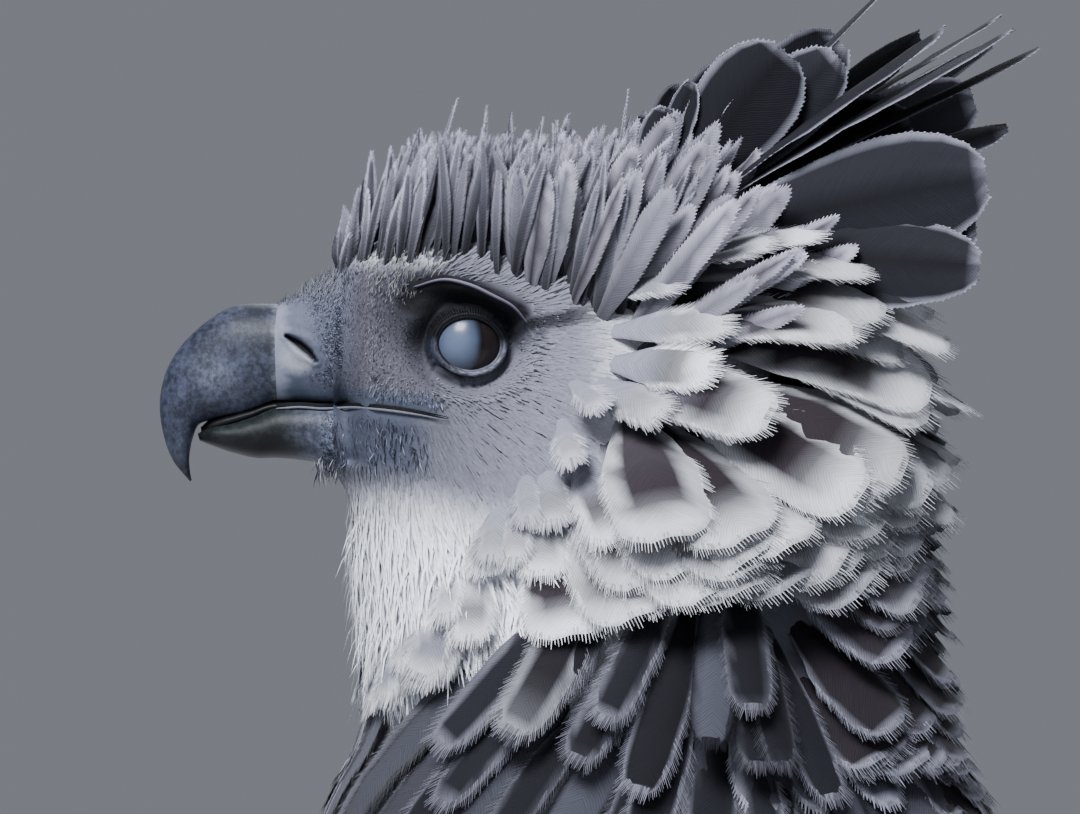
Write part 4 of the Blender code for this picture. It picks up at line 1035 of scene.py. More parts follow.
def make_cere(paint):
    """The cere with its nostrils, a bulge before them and a pale front edge; painted shade in the nostril
    pits and painted light on its turned-down lower side.
    """
    cere = Form(CERE, 2.2, EYE_HEIGHT)
    rings, sides = 60, 200
    turns = 2 * math.pi * np.arange(sides) / sides
    places = np.linspace(0.0, cere.last, rings)
    grid = cere.bare(places[:, None], turns[None, :])
    y, z = profile(grid)
    gap, along = polyline_distance(y, z, NOSTRIL)
    on_side = smooth(3.0, 7.0, np.abs(grid[..., 0]))
    gap = gap / (0.5 + 0.7 * np.sin(math.pi * np.clip(along, 0.04, 0.96)))
    rim = np.exp(-((gap - 2.0) / 0.9) ** 2)
    pit = smooth(1.25, 0.5, gap)
    grid[..., 0] += np.sign(grid[..., 0]) * on_side * (0.7 * rim - 2.6 * pit)
    bulge = np.exp(-((y + 45.5) / 5.0) ** 2 - ((z - 5.0) / 6.5) ** 2)
    grid[..., 0] += np.sign(grid[..., 0]) * on_side * 0.7 * bulge
    verts = grid.reshape(-1, 3)
    middle = len(verts)
    verts = np.concatenate([verts, grid[0].mean(axis=0)[None], grid[-1].mean(axis=0)[None]])
    k = np.arange(sides)
    n = (k + 1) % sides
    low = (rings - 1) * sides
    ends = np.concatenate([
        np.stack([n, k, np.full(sides, middle)], axis=-1),
        np.stack([low + k, low + n, np.full(sides, middle + 1)], axis=-1)])
    tint = blend([0.045, 0.055, 0.08], [0.085, 0.092, 0.125], smooth(-12.0, 14.0, verts[:, 2] - EYE_HEIGHT))
    tint = blend(tint, [0.062, 0.070, 0.100], smooth(-47.0, -40.0, verts[:, 1]))
    # Painted light: the cere's lower side, turned away from the lamps, is painted lighter so its shading
    # meets the face's.
    underside_painted_light = smooth(-8.0, -13.5, verts[:, 2] - EYE_HEIGHT) * smooth(-50.0, -42.0, verts[:, 1])
    tint = tint * (1.0 + 0.35 * underside_painted_light)[:, None]
    edge = verts[:, 1] + 0.5 * np.sin(1.3 * verts[:, 2]) + 0.3 * np.sin(3.1 * verts[:, 2] + 1.0)
    tint = blend(tint, [0.17, 0.18, 0.23], 0.75 * smooth(-47.8, -51.4, edge))
    hollow = np.hypot(verts[:, 1] + 46.6, verts[:, 2] - EYE_HEIGHT + 3.6)
    tint = blend(tint, [0.26, 0.27, 0.31], 0.7 * smooth(6.0, 2.5, hollow))
    # Painted shade in the nostril pits.
    dark = np.concatenate([(pit * on_side).ravel(), [0.0, 0.0]])
    tint = blend(tint, 0.3 * DARK, dark)
    groups = [grid_faces(rings, sides, closed=True), ends]
    plain_piece("cere_skin", verts, groups, paint, tint, "face_skin", "cere")


def sphere_shape(centre, radius, rows, columns):
    """Sphere whose poles lie on X, the first one outwards."""
    polar = np.linspace(0.0, math.pi, rows)
    turns = 2 * math.pi * np.arange(columns) / columns
    grid = np.stack([
        np.repeat(np.cos(polar)[:, None], columns, axis=1),
        np.sin(polar)[:, None] * np.cos(turns)[None, :],
        np.sin(polar)[:, None] * np.sin(turns)[None, :],
    ], axis=-1)
    grid = grid * np.array([np.sign(centre[0]), 1.0, 1.0]) * radius + centre
    return grid.reshape(-1, 3), [grid_faces(rows, columns, closed=True)]


def make_eyes():
    paint, tree, shader = new_material("eye_wet", 0.28, 0.2)
    cloud = node(tree, "ShaderNodeTexNoise", Scale=260.0, Detail=5.0)
    place = tree.nodes.new("ShaderNodeTexCoord")
    tree.links.new(place.outputs["Object"], cloud.inputs["Vector"])
    tinted(tree, shader, cloud.outputs["Fac"], 0.82, 1.18)
    shader.inputs["Coat Weight"].default_value = 0.12
    shader.inputs["Coat Roughness"].default_value = 0.12
    for side, word in SIDES:
        centre = np.array([side * EYE_X, 0.0, EYE_HEIGHT])
        verts, groups = sphere_shape(centre, EYE_RADIUS, 48, 64)
        tint = np.full((len(verts), 3), 0.004)
        ring = np.hypot(*profile(verts))
        iris = smooth(4.0, 4.6, ring) * smooth(9.0, 7.8, ring)
        tint = blend(tint, [0.010, 0.007, 0.007], iris)
        plain_piece(f"eyeball_{word}", verts, groups, paint, tint, "eye", f"eye_{word}")
        verts, groups = sphere_shape(centre, EYE_RADIUS + 0.25, 90, 120)
        y, z = profile(verts)
        edge = 4.6 - 0.045 * (z - 1.0) ** 2
        outer = np.abs(verts[:, 0]) > EYE_X + 2.0
        keep = (y < edge) & outer
        quads = groups[0]
        quads = quads[keep[quads].all(axis=1)]
        used = np.unique(quads)
        index = np.zeros(len(verts), int)
        index[used] = np.arange(len(used))
        verts, quads = verts[used], index[quads]
        y, z = profile(verts)
        milky = smooth(9.8, 1.0, np.hypot(y + 2.4, 1.1 * (z - 0.6)))
        tint = blend([0.012, 0.017, 0.030], [0.070, 0.092, 0.145], milky)
        tint = blend(tint, [0.006, 0.005, 0.006], smooth(2.2, 4.4, y + 0.035 * (z - 1.0) ** 2))
        plain_piece(f"eye_veil_{word}", verts, [quads], paint, tint, "eye")


# The small feathers and bristles of the head

def lay_blades(coat, roots, directions, normals, lengths, widths, colours, root_uv, bend=0.2):
    """Thin tapered tufts: a bent blade of three faces each."""
    across = unit(np.cross(normals, directions))
    rows = []
    for t, wide, sink in ((0.0, 0.8, -0.3), (0.5, 1.0, 0.0)):
        middle = (roots + directions * (lengths * t)[:, None]
                  + normals * (sink - bend * lengths * t * t)[:, None])
        rows += [middle - across * (0.5 * wide * widths)[:, None],
                 middle + across * (0.5 * wide * widths)[:, None]]
    rows.append(roots + directions * lengths[:, None] - normals * (bend * lengths)[:, None])
    points = np.stack(rows, axis=1)
    faces = [np.array([[0, 1, 3, 2]]), np.array([[2, 3, 4]])]
    barb = np.zeros((len(roots), 5, 2))
    barb[:, :, 0] = lengths[:, None] * np.array([0.0, 0.0, 0.5, 0.5, 1.0])
    barb[:, :, 1] = widths[:, None] * np.array([-0.4, 0.4, -0.5, 0.5, 0.0])
    # Painted shade: each tuft is darker at its root and lighter at its tip.
    shade = np.array([0.72, 0.72, 0.95, 0.95, 1.12])[None, :, None]
    coat.add(points, faces, colours[:, None, :] * shade, barb, root_uv)


def random_spots(form, start, end, low, high, number):
    """Places and turns spread evenly over part of a form's surface."""
    places = RNG.uniform(start, end, number * 3)
    turns = np.radians(RNG.uniform(low, high, number * 3))
    turns = turns * RNG.choice([-1.0, 1.0], number * 3)
    along = form.bare(np.minimum(places + 0.05, form.last), turns) - form.bare(places - 0.05, turns)
    around = form.bare(places, turns + 0.02) - form.bare(places, turns - 0.02)
    area = np.linalg.norm(np.cross(along, around), axis=1)
    keep = RNG.random(len(area)) < area / np.quantile(area, 0.98)
    return places[keep][:number], turns[keep][:number]


def face_frames(places, turns):
    """Points, normals and backward directions on the relieved skin of the head."""
    step = 0.03
    here = face_relief(BODY_FORM.bare(places, turns))
    ahead = face_relief(BODY_FORM.bare(places + step, turns))
    around = face_relief(BODY_FORM.bare(places, turns + step))
    run, turn = ahead - here, around - here
    normals = unit(np.cross(turn, run))
    inward = np.einsum("ij,ij->i", normals, here - np.array([0.0, 5.0, EYE_HEIGHT - 10.0])) < 0
    normals[inward] *= -1.0
    return here, normals, unit(run)


def make_face(paint):
    """Bristles before the eye, short feathers on the cheek and down on the throat."""
    coat = Coat("face_tufts", paint, "plumage_pale")
    places, turns = random_spots(BODY_FORM, 0.05, 7.8, 0.0, 180.0, 66000)
    roots, normals, back = face_frames(places, turns)
    y, z = profile(roots)
    ring = eye_ring(y, z)
    gape, gape_along = polyline_distance(y, z, GAPE)
    brow, brow_along = polyline_distance(y, z, BROW)
    bare = (ring < np.where(z < -1.0, 1.13, 1.32)) | ((gape < 2.4) & (gape_along < 0.97)) | (z > 27.0)
    bare |= (jaw_share(y, z) > 0.4) & (RNG.random(len(y)) < 0.6)
    under_brow = (ring < 2.1) & (z > 2.0) & (brow_along < 0.98) & (brow < 9.0)
    bare |= ((brow < 1.8) & (brow_along < 0.9)) | under_brow
    keep = ~bare
    places, turns, roots, normals, back = (a[keep] for a in (places, turns, roots, normals, back))
    y, z = y[keep], z[keep]
    number = len(y)
    lores = smooth(-2.0, -12.0, y) * smooth(-22.0, -15.0, z)
    rim = smooth(1.55, 1.25, eye_ring(y, z))
    jaw = jaw_share(y, z)
    lores = np.maximum(np.maximum(lores, rim), 0.9 * jaw)
    throat = throat_share(y, z)
    above = smooth(9.0, 14.0, z) * smooth(-30.0, -20.0, y)
    lengths = (5.8 + 3.0 * smooth(5.0, 30.0, y) + 7.0 * throat * RNG.uniform(0.6, 1.4, number)
               + 1.2 * above - 4.5 * lores - 0.6 * rim)
    lengths = np.maximum(lengths + 1.0 * jaw, 0.9)
    widths = 0.5 + 0.4 * throat + 0.2 * smooth(10.0, 30.0, y) - 0.30 * lores + 0.08 * jaw
    lengths = lengths * RNG.uniform(0.7, 1.3, number)
    away = unit(np.stack([0.0 * y, y + 10.0, z + 10.0], axis=-1))
    lie = unit(blend(back, away, 0.55))
    lie = unit(blend(lie, np.array([0.0, 0.55, 0.8]), 0.6 * above))
    lie = lie - np.einsum("ij,ij->i", lie, normals)[:, None] * normals
    rise = 0.02 + 0.40 * lores * (1.0 - 0.75 * jaw) + 0.10 * throat + 0.12 * above
    spread = (0.03 + 0.3 * lores + 0.15 * throat + 0.05 * above)[:, None]
    lie = unit(unit(lie) + rise[:, None] * normals + spread * RNG.normal(0.0, 1.0, (number, 3)))
    centre, margin, _ = body_colours(places, turns)
    tint = blend(face_tint(roots), 0.5 * (centre + margin), 0.7 * smooth(26.0, 46.0, y))
    tint = blend(tint, WHITE, np.maximum(throat, 0.4 * smooth(28.0, 44.0, y)))
    tint = blend(tint, [0.060, 0.068, 0.098], 0.8 * jaw)
    tint = blend(tint, 0.7 * PALE, 0.6 * above)
    round_eye = eye_ring(y, z)
    lengths = lengths * np.clip(smooth(1.1, 3.0, round_eye), 0.42, 1.0)
    lengths = lengths * np.where(lores > 0.3, 1.0, np.clip(tint.mean(axis=1) / 0.14, 0.4, 1.0))
    speckle = RNG.random(number)
    stubble = (lores > 0.4)[:, None]
    bright = np.minimum(2.2 * tint + 0.02, 0.24)
    tint = np.where(stubble & (speckle[:, None] < 0.30 - 0.18 * jaw[:, None]), bright, tint)
    tint = np.where(stubble & (speckle[:, None] > 0.62), 0.3 * tint, tint)
    tint = jittered(tint, 0.10, number)
    lay_blades(coat, roots, lie, normals, lengths, widths, tint, extent_uv(BODY_FORM, places, turns))
    lay_seam_bristles(coat, Form(CERE, 2.2, EYE_HEIGHT), (0.8, 4.0), 16000)
    lay_seam_bristles(coat, Form(LOWER_BILL, 2.4, EYE_HEIGHT), (1.0, 2.4), 5000)
    coat.build()


def lay_seam_bristles(coat, form, span, number):
    """Fine bristles that thin out forwards over the cere and the root of the lower bill."""
    upper = span[1] > 3.0
    places, turns = random_spots(form, span[0], span[1], 0.0, 180.0, number)
    roots, normals = form.bare(places, turns), form.normal(places, turns)
    y, z = profile(roots)
    if upper:
        thick = smooth(-46.5, -39.5, y + 0.12 * z) * smooth(-12.5, -9.5, z)
        thick = thick * smooth(2.4, 3.4, polyline_distance(y, z, NOSTRIL)[0])
        thick = np.maximum(thick, 0.35 * smooth(9.0, 12.0, z))
    else:
        thick = 0.5 * smooth(-44.0, -36.0, y) * smooth(-18.0, -20.0, z)
    keep = RNG.random(len(y)) < thick
    places, turns, roots, normals, y, z = (a[keep] for a in (places, turns, roots, normals, y, z))
    number = len(y)
    rising_up = 0.7 * smooth(4.0, 12.0, z) - 0.5 * smooth(-16.0, -20.0, z)
    lie = np.stack([np.zeros(number), 0.6 * np.ones(number), rising_up], axis=-1)
    lie = unit(lie + 0.45 * normals + 0.3 * RNG.normal(0.0, 1.0, (number, 3)))
    lengths = RNG.uniform(0.9, 1.7, number) + 4.5 * smooth(9.0, 15.0, z) * RNG.random(number) ** 2
    speckle = RNG.random((number, 1))
    tint = np.tile([0.064, 0.070, 0.098], (number, 1))
    tint = np.where(speckle < 0.30, 2.2 * tint + 0.02, tint)
    tint = np.where(speckle > 0.62, 0.3 * tint, tint)
    tint = blend(tint, 0.8 * PALE, 0.6 * smooth(9.0, 14.0, z))
    lay_blades(coat, roots, lie, normals, lengths, np.full(number, 0.22), tint,
               extent_uv(BODY_FORM, 0.02 * places, turns))


LASHES = 34
CHIN_BRISTLES = 130
BRISTLE_WIDTH = 0.28


def make_lashes(paint):
    """Stiff bristles over the lid, under the brow and on the chin."""
    coat = Coat("bristles", paint, "plumage_dark")
    roots, directions, lengths, tints = [], [], [], []
    for side in (1.0, -1.0):
        for turn in np.radians(np.linspace(28.0, 152.0, LASHES)):
            y, z = 10.4 * math.cos(turn), 8.6 * math.sin(turn)
            x = EYE_X + math.sqrt(EYE_RADIUS ** 2 - 0.75 * (y * y + z * z)) + 1.4
            roots.append((side * x, y, EYE_HEIGHT + z))
            directions.append((side * 0.75, 0.45 * math.cos(turn) - 0.1, 0.35 + 0.3 * RNG.random()))
            lengths.append(RNG.uniform(2.2, 4.2))
            tints.append(0.6 * DARK)
        for _ in range(CHIN_BRISTLES):
            y, z = RNG.uniform(-42.0, -26.0), RNG.uniform(-37.0, -32.0)
            roots.append((side * RNG.uniform(2.0, 13.0), y, EYE_HEIGHT + z + 2.0))
            directions.append((side * 0.2, -0.05 + RNG.normal(0.0, 0.25), -0.9))
            lengths.append(RNG.uniform(2.5, 5.5))
            tints.append(0.25 * WHITE if RNG.random() < 0.35 else 0.5 * GREY)
    roots, directions = np.array(roots), unit(directions)
    normals = unit(np.cross(directions, np.array([0.3, 0.8, 0.2])))
    number = len(roots)
    lay_blades(coat, roots, directions, normals, np.array(lengths), np.full(number, BRISTLE_WIDTH),
               np.array(tints), level_uv(np.linspace(0.0, 0.98, number), 0.5), 0.1)
    coat.build()


def make_crown(paint):
    """Lance-shaped feathers that stand up from the skull like a brush."""
    coat = Coat("crown", paint, "plumage_pale")
    places, turns = scatter(BODY_FORM, 0.08, 5.7, 3.8, 3.9, 0.45, (math.radians(-86), math.radians(86)))
    roots = BODY_FORM.bare(places, turns)
    low = roots[:, 2] - EYE_HEIGHT
    keep = low > np.interp(roots[:, 1], [-37, -26, -12, 0, 12, 22, 40], [17.5, 20, 21.5, 21, 15.5, 11, 5])
    places, turns, roots, low = places[keep], turns[keep], roots[keep], low[keep]
    number = len(places)
    normals = BODY_FORM.normal(places, turns)
    y = roots[:, 1]
    back = np.interp(y, [-37.0, -28.0, -10.0, 15.0, 35.0, 60.0], [0.04, 0.16, 0.16, 0.10, 0.26, 0.55])
    lean = unit(np.stack([0.20 * normals[:, 0] + RNG.normal(0, 0.06, number),
                          back + RNG.normal(0, 0.07, number),
                          np.full(number, 0.95)], axis=-1))
    top = np.interp(y, [-37.0, -33.0, -27.0, -18.0, 0.0, 30.0, 45.0],
                    [31.0, 46.0, 56.0, 60.0, 60.0, 59.0, 64.0])
    side = smooth(25.0, 65.0, np.degrees(np.abs(turns)))
    reach = np.interp(y, [-37.0, -20.0, 0.0, 30.0], [22.0, 34.0, 40.0, 44.0])
    lengths = np.minimum((top - low) / np.maximum(lean[:, 2], 0.5), reach)
    lengths = np.maximum(lengths, 8.0) * (RNG.uniform(0.78, 1.02, number) - 0.14 * side * RNG.random(number))
    quill = RNG.random(number) < 0.06
    lengths = np.where(quill, lengths * 1.15, lengths)
    rows, columns = 12, 7
    t = vane_steps(rows)[None, :, None]
    sag = np.stack([0.06 * normals[:, 0], np.full(number, 0.05), np.full(number, 0.0)], axis=-1)
    sag = sag + RNG.normal(0.0, 0.07, (number, 3))
    run = t * lean[:, None] + t * t * sag[:, None]
    path = (roots - 1.5 * normals)[:, None] + lengths[:, None, None] * run
    face = unit(np.stack([np.where(turns >= 0, 1.0, -1.0), RNG.uniform(-0.8, 0.3, number),
                          RNG.uniform(0.0, 0.25, number)], axis=-1))
    face = np.repeat(face[:, None], rows, axis=1)
    wide = np.interp(y, [-37.0, -20.0, 20.0, 45.0], [3.0, 4.0, 4.7, 5.8]) * RNG.uniform(0.6, 1.25, number)
    wide = np.where(quill, 1.3, wide)
    centre = blend(0.5 * GREY + 0.5 * BROWNISH, 0.7 * PALE, RNG.random(number))
    margin = jittered(np.tile([0.33, 0.325, 0.40], (number, 1)), 0.35, number)
    colours = vane_colours(centre, margin, 0.6, rows, columns, 0.12)
    # Painted shade: the crown feathers darken towards their roots, for the shadowed gaps between them.
    painted_root_shade = root_shade(rows, [0.0, 0.35, 0.7, 1.0], [0.06, 0.30, 0.85, 1.1])
    lay_vanes(coat, path, face, wide[:, None] * outline("lance", rows)[None, :], colours * painted_root_shade,
              extent_uv(BODY_FORM, places, turns), barbs=60, barb_length=0.65, camber=0.22,
              barb_dark=0.4, curl=0.1, first_barb=0.4)
    coat.build()


def ruff_start(angle):
    return np.interp(angle, [0, 30, 45, 60, 85, 120, 180], [4.7, 4.9, 5.1, 5.35, 5.9, 6.3, 6.4])


# Lower border of the pale ruff in the profile, seen from the eye
RUFF_BORDER = ((-24.0, 47.0, 75.0, 92.0), (-88.0, -62.0, -56.0, -104.0))
# Degrees below level of the dark feathers under it, from the front to the back
NECK_DIP = ((10.0, 50.0, 88.0), (130.0, 116.0, 76.0))


def ruff_dip(places, turns):
    """Degrees below level at which the ruff's feathers point, seen from the side."""
    roots = BODY_FORM.bare(places, turns)
    y, z = profile(roots)
    dip = 46.0 - 0.5 * (y - 75.0) - 0.35 * (z + 25.0)
    dip = dip + smooth(-12.0, 4.0, z) * smooth(78.0, 66.0, y) * (14.0 - dip)
    return np.clip(dip, 8.0, 88.0), y, z


def below_ruff(places, turns):
    """1 for the long dark feathers below the pale ruff, and the room left above its border."""
    dip, y, z = ruff_dip(places, turns)
    room = (z - np.interp(y, *RUFF_BORDER)) / np.sin(np.radians(np.maximum(dip, 25.0)))
    aside = smooth(15.0, 30.0, fold(turns))
    return smooth(10.0, 6.0, room) * aside, np.where(aside > 0.1, room, 99.0)


def ruff_heading(places, turns, low):
    """Directions of the ruff's feathers: backwards high up, more downwards lower down."""
    dip, y, _ = ruff_dip(places, turns)
    dip = dip + RNG.normal(0.0, 7.0, len(places))
    dip = np.radians(dip + low * (np.interp(y, *NECK_DIP) - dip))
    return np.stack([np.zeros(len(places)), np.cos(dip), -np.sin(dip)], axis=-1)


def spread_out(places, turns, wanted, along_gap, across_gaps):
    """Numbers of spots that keep a distance along and across their directions."""
    roots, normals = BODY_FORM.bare(places, turns), BODY_FORM.normal(places, turns)
    along = unit(wanted - np.einsum("ij,ij->i", wanted, normals)[:, None] * normals)
    across = np.cross(normals, along)
    kept = []
    for k in range(len(places)):
        if kept:
            gap = roots[kept] - roots[k]
            near = (gap @ along[k] / along_gap) ** 2 + (gap @ across[k] / across_gaps[k]) ** 2
            if near.min() < 1.0:
                continue
        kept.append(k)
    return np.array(kept)


def make_ruff(paint):
    """The ruff: rows of broad feathers that stand off the nape and lie on the side."""
    places, turns = random_spots(BODY_FORM, 4.6, 10.1, 0.0, 180.0, 12000)
    low, _ = below_ruff(places, turns)
    gaps = 4.4 + 4.2 * smooth(0.2, 1.2, places - ruff_start(fold(turns)))
    kept = spread_out(places, turns, ruff_heading(places, turns, low), 4.4, gaps)
    places, turns = places[kept], turns[kept]
    angle = fold(turns)
    grown = places - ruff_start(angle) - RNG.uniform(0.0, 0.15, len(places))
    keep = grown > 0.0
    places, turns, angle, grown = (a[keep] for a in (places, turns, angle, grown))
    low, room = below_ruff(places, turns)
    number = len(places)
    nape = np.clip(np.cos(np.radians(angle)), 0.0, 1.0) ** 0.8
    size = smooth(0.0, 1.0, grown)
    under = smooth(115.0, 165.0, angle)
    nape_lift = np.interp(places, [5.0, 6.0, 6.6, 7.2, 8.0, 9.0, 10.1], [44, 43, 36, 26, 17, 10, 6])
    side_lift = np.interp(places, [5.0, 6.8, 7.6, 8.3, 9.2, 10.1], [13, 15, 13, 10, 8, 6])
    lift = side_lift + nape * (nape_lift - side_lift)
    lift = lift * (0.45 + 0.55 * smooth(0.0, 1.6 - 1.1 * nape, grown)) * (1.0 - 0.4 * under)
    lift = lift * (1.0 + (0.05 + 0.12 * smooth(40.0, 15.0, angle)) * RNG.uniform(-1.0, 1.0, number))
    lengths = (17.0 + 29.0 * size ** 0.8) * (1.0 + 0.25 * low) * RNG.uniform(0.92, 1.08, number)
    lengths = np.where(low < 0.5, np.minimum(lengths, np.maximum(room + 12.0, 18.0)), lengths)
    widths = (8.5 + 20.5 * smooth(0.0, 1.2, grown)) * (1.0 - 0.60 * low) * RNG.uniform(0.80, 1.15, number)
    widths = widths * (1.0 - 0.45 * under)
    rows, columns = 13, 7
    t = vane_steps(rows)[None, :]
    tilt = RNG.normal(0.0, 0.5, (number, 1)) * t
    lifts = -2.0 + (lift + 2.0)[:, None] * np.interp(t, [0.0, 0.5, 1.0], [0.0, 0.56, 1.0]) + tilt
    centre, margin, share, tip_share, light = ruff_colours(places, turns, grown, low)
    centre = jittered(centre, 0.25, number)
    margin = jittered(margin, 0.10, number)
    paler = light[:, None] * (1.0 - low[:, None]) * smooth(0.66, 0.90, t)
    centre = blend(centre[:, None, :], 0.8 * margin[:, None, :], 0.95 * paler)
    colours = vane_colours(centre, margin, share, rows, columns, tip_share)
    roots = BODY_FORM.bare(places, turns)
    skin_tint = blend(face_tint(roots), 0.7 * WHITE, throat_share(*profile(roots)))
    first = smooth(0.9, 0.4, grown)[:, None] * smooth(0.66, 0.30, t)
    first = np.maximum(first, 0.55 * smooth(0.35, 0.0, grown)[:, None])
    colours = blend(colours, 1.1 * skin_tint[:, None, None, :], first[:, :, None])
    wanted = ruff_heading(places, turns, low)
    roll = RNG.normal(0.0, 0.07, number)
    for word, chosen in (("left", np.sin(turns) > 0), ("right", np.sin(turns) <= 0)):
        coat = Coat(f"ruff_{word}", paint, "plumage_pale")
        lay_on(coat, BODY_FORM, *(a[chosen] for a in (places, turns, lengths, widths, lifts, colours)),
               "ruff", 0.0, 11.0, wanted[chosen], barbs=108, barb_length=3.4, camber=0.09,
               roll=roll[chosen], barb_dark=0.45, curl=0.12, first_barb=0.42, rim_shade=0.7)
        coat.build()


def ruff_colours(places, turns, grown, low):
    """White tips near the face, then dark with a pale rim, and darkest low on the side."""
    number = len(places)
    angle = fold(turns)
    light = smooth(2.9, 1.5, grown)
    front = smooth(108.0, 128.0, angle) * (1.0 - low)
    light = np.maximum(light, front)
    centre = blend(0.5 * BROWNISH + 0.2 * SLATE, 0.6 * BROWNISH, light)
    centre = blend(centre, 0.35 * WHITE, 0.8 * smooth(0.6, 0.2, grown))
    centre = blend(centre, 0.8 * PALE, front)
    margin = blend(0.80 * PALE, 0.72 * WHITE, light)
    margin = margin * RNG.uniform(0.70, 1.20, (number, 1))
    streaked = RNG.random(number) < 0.45
    centre = blend(centre, np.where(streaked[:, None], 0.5 * GREY, 0.35 * SLATE), low)
    edge = RNG.uniform(0.18, 0.55, (number, 1)) * PALE
    margin = blend(margin, np.where(streaked[:, None], 0.4 * SLATE, edge), low)
    height = BODY_FORM.bare(places, turns)[:, 2] - EYE_HEIGHT
    fluffy = smooth(112.0, 135.0, angle) * smooth(-78.0, -92.0, height)
    centre = blend(centre, 0.7 * PALE, 0.9 * fluffy)
    margin = blend(margin, 0.7 * WHITE, 0.9 * fluffy)
    share = (0.22 + 0.12 * light) * RNG.uniform(0.7, 1.3, number) + 0.04 * low
    tip_share = (0.09 + 0.11 * light) * RNG.uniform(0.75, 1.3, number) * (1.0 - 0.5 * low)
    return centre, margin, share, tip_share, light


# The crest: side, rise in degrees, length, width, offset of the root from the middle, facing
CREST = [
    (1, 86.0, 41.0, 10.0, 3.0, 1.0), (1, 80.0, 47.0, 12.0, 5.0, 0.8), (1, 73.0, 56.0, 12.0, 6.5, 0.5),
    (1, 64.0, 68.0, 9.0, 6.0, 0.3), (1, 56.0, 76.0, 28.0, 9.0, 1.0), (1, 47.0, 84.0, 22.0, 6.0, 0.9),
    (1, 41.0, 112.0, 20.0, 8.0, 0.12), (1, 35.5, 127.0, 20.0, 9.0, 0.06), (1, 31.5, 130.0, 18.0, 6.0, 0.1),
    (1, 23.5, 112.0, 18.0, 2.0, 0.35), (1, 17.0, 102.0, 33.0, 13.0, 1.0), (1, 10.0, 96.0, 26.0, 11.0, 0.8),
    (1, 4.5, 96.0, 24.0, 14.0, 0.9), (1, 0.0, 86.0, 22.0, 12.0, 0.6), (1, 30.0, 88.0, 32.0, 5.0, 0.9),
    (-1, 84.0, 45.0, 12.0, 4.0, 0.9), (-1, 75.0, 55.0, 14.0, 6.0, 0.7), (-1, 66.0, 66.0, 18.0, 6.0, 0.8),
    (-1, 58.0, 74.0, 26.0, 8.0, 1.0), (-1, 50.0, 90.0, 24.0, 8.0, 0.9), (-1, 43.0, 108.0, 22.0, 8.0, 0.3),
    (-1, 36.0, 124.0, 20.0, 10.0, 0.2), (-1, 28.0, 110.0, 26.0, 9.0, 0.7),
    (-1, 19.0, 102.0, 31.0, 12.0, 1.0), (-1, 12.0, 95.0, 26.0, 10.0, 0.8), (-1, 5.0, 92.0, 26.0, 12.0, 0.9),
    (-1, 38.0, 80.0, 30.0, 5.0, 1.0),
    (0, 50.0, 114.0, 19.0, 0.0, 0.0), (0, 39.0, 127.0, 19.0, 0.0, 0.0), (0, 62.0, 72.0, 20.0, 0.0, 0.0),
]


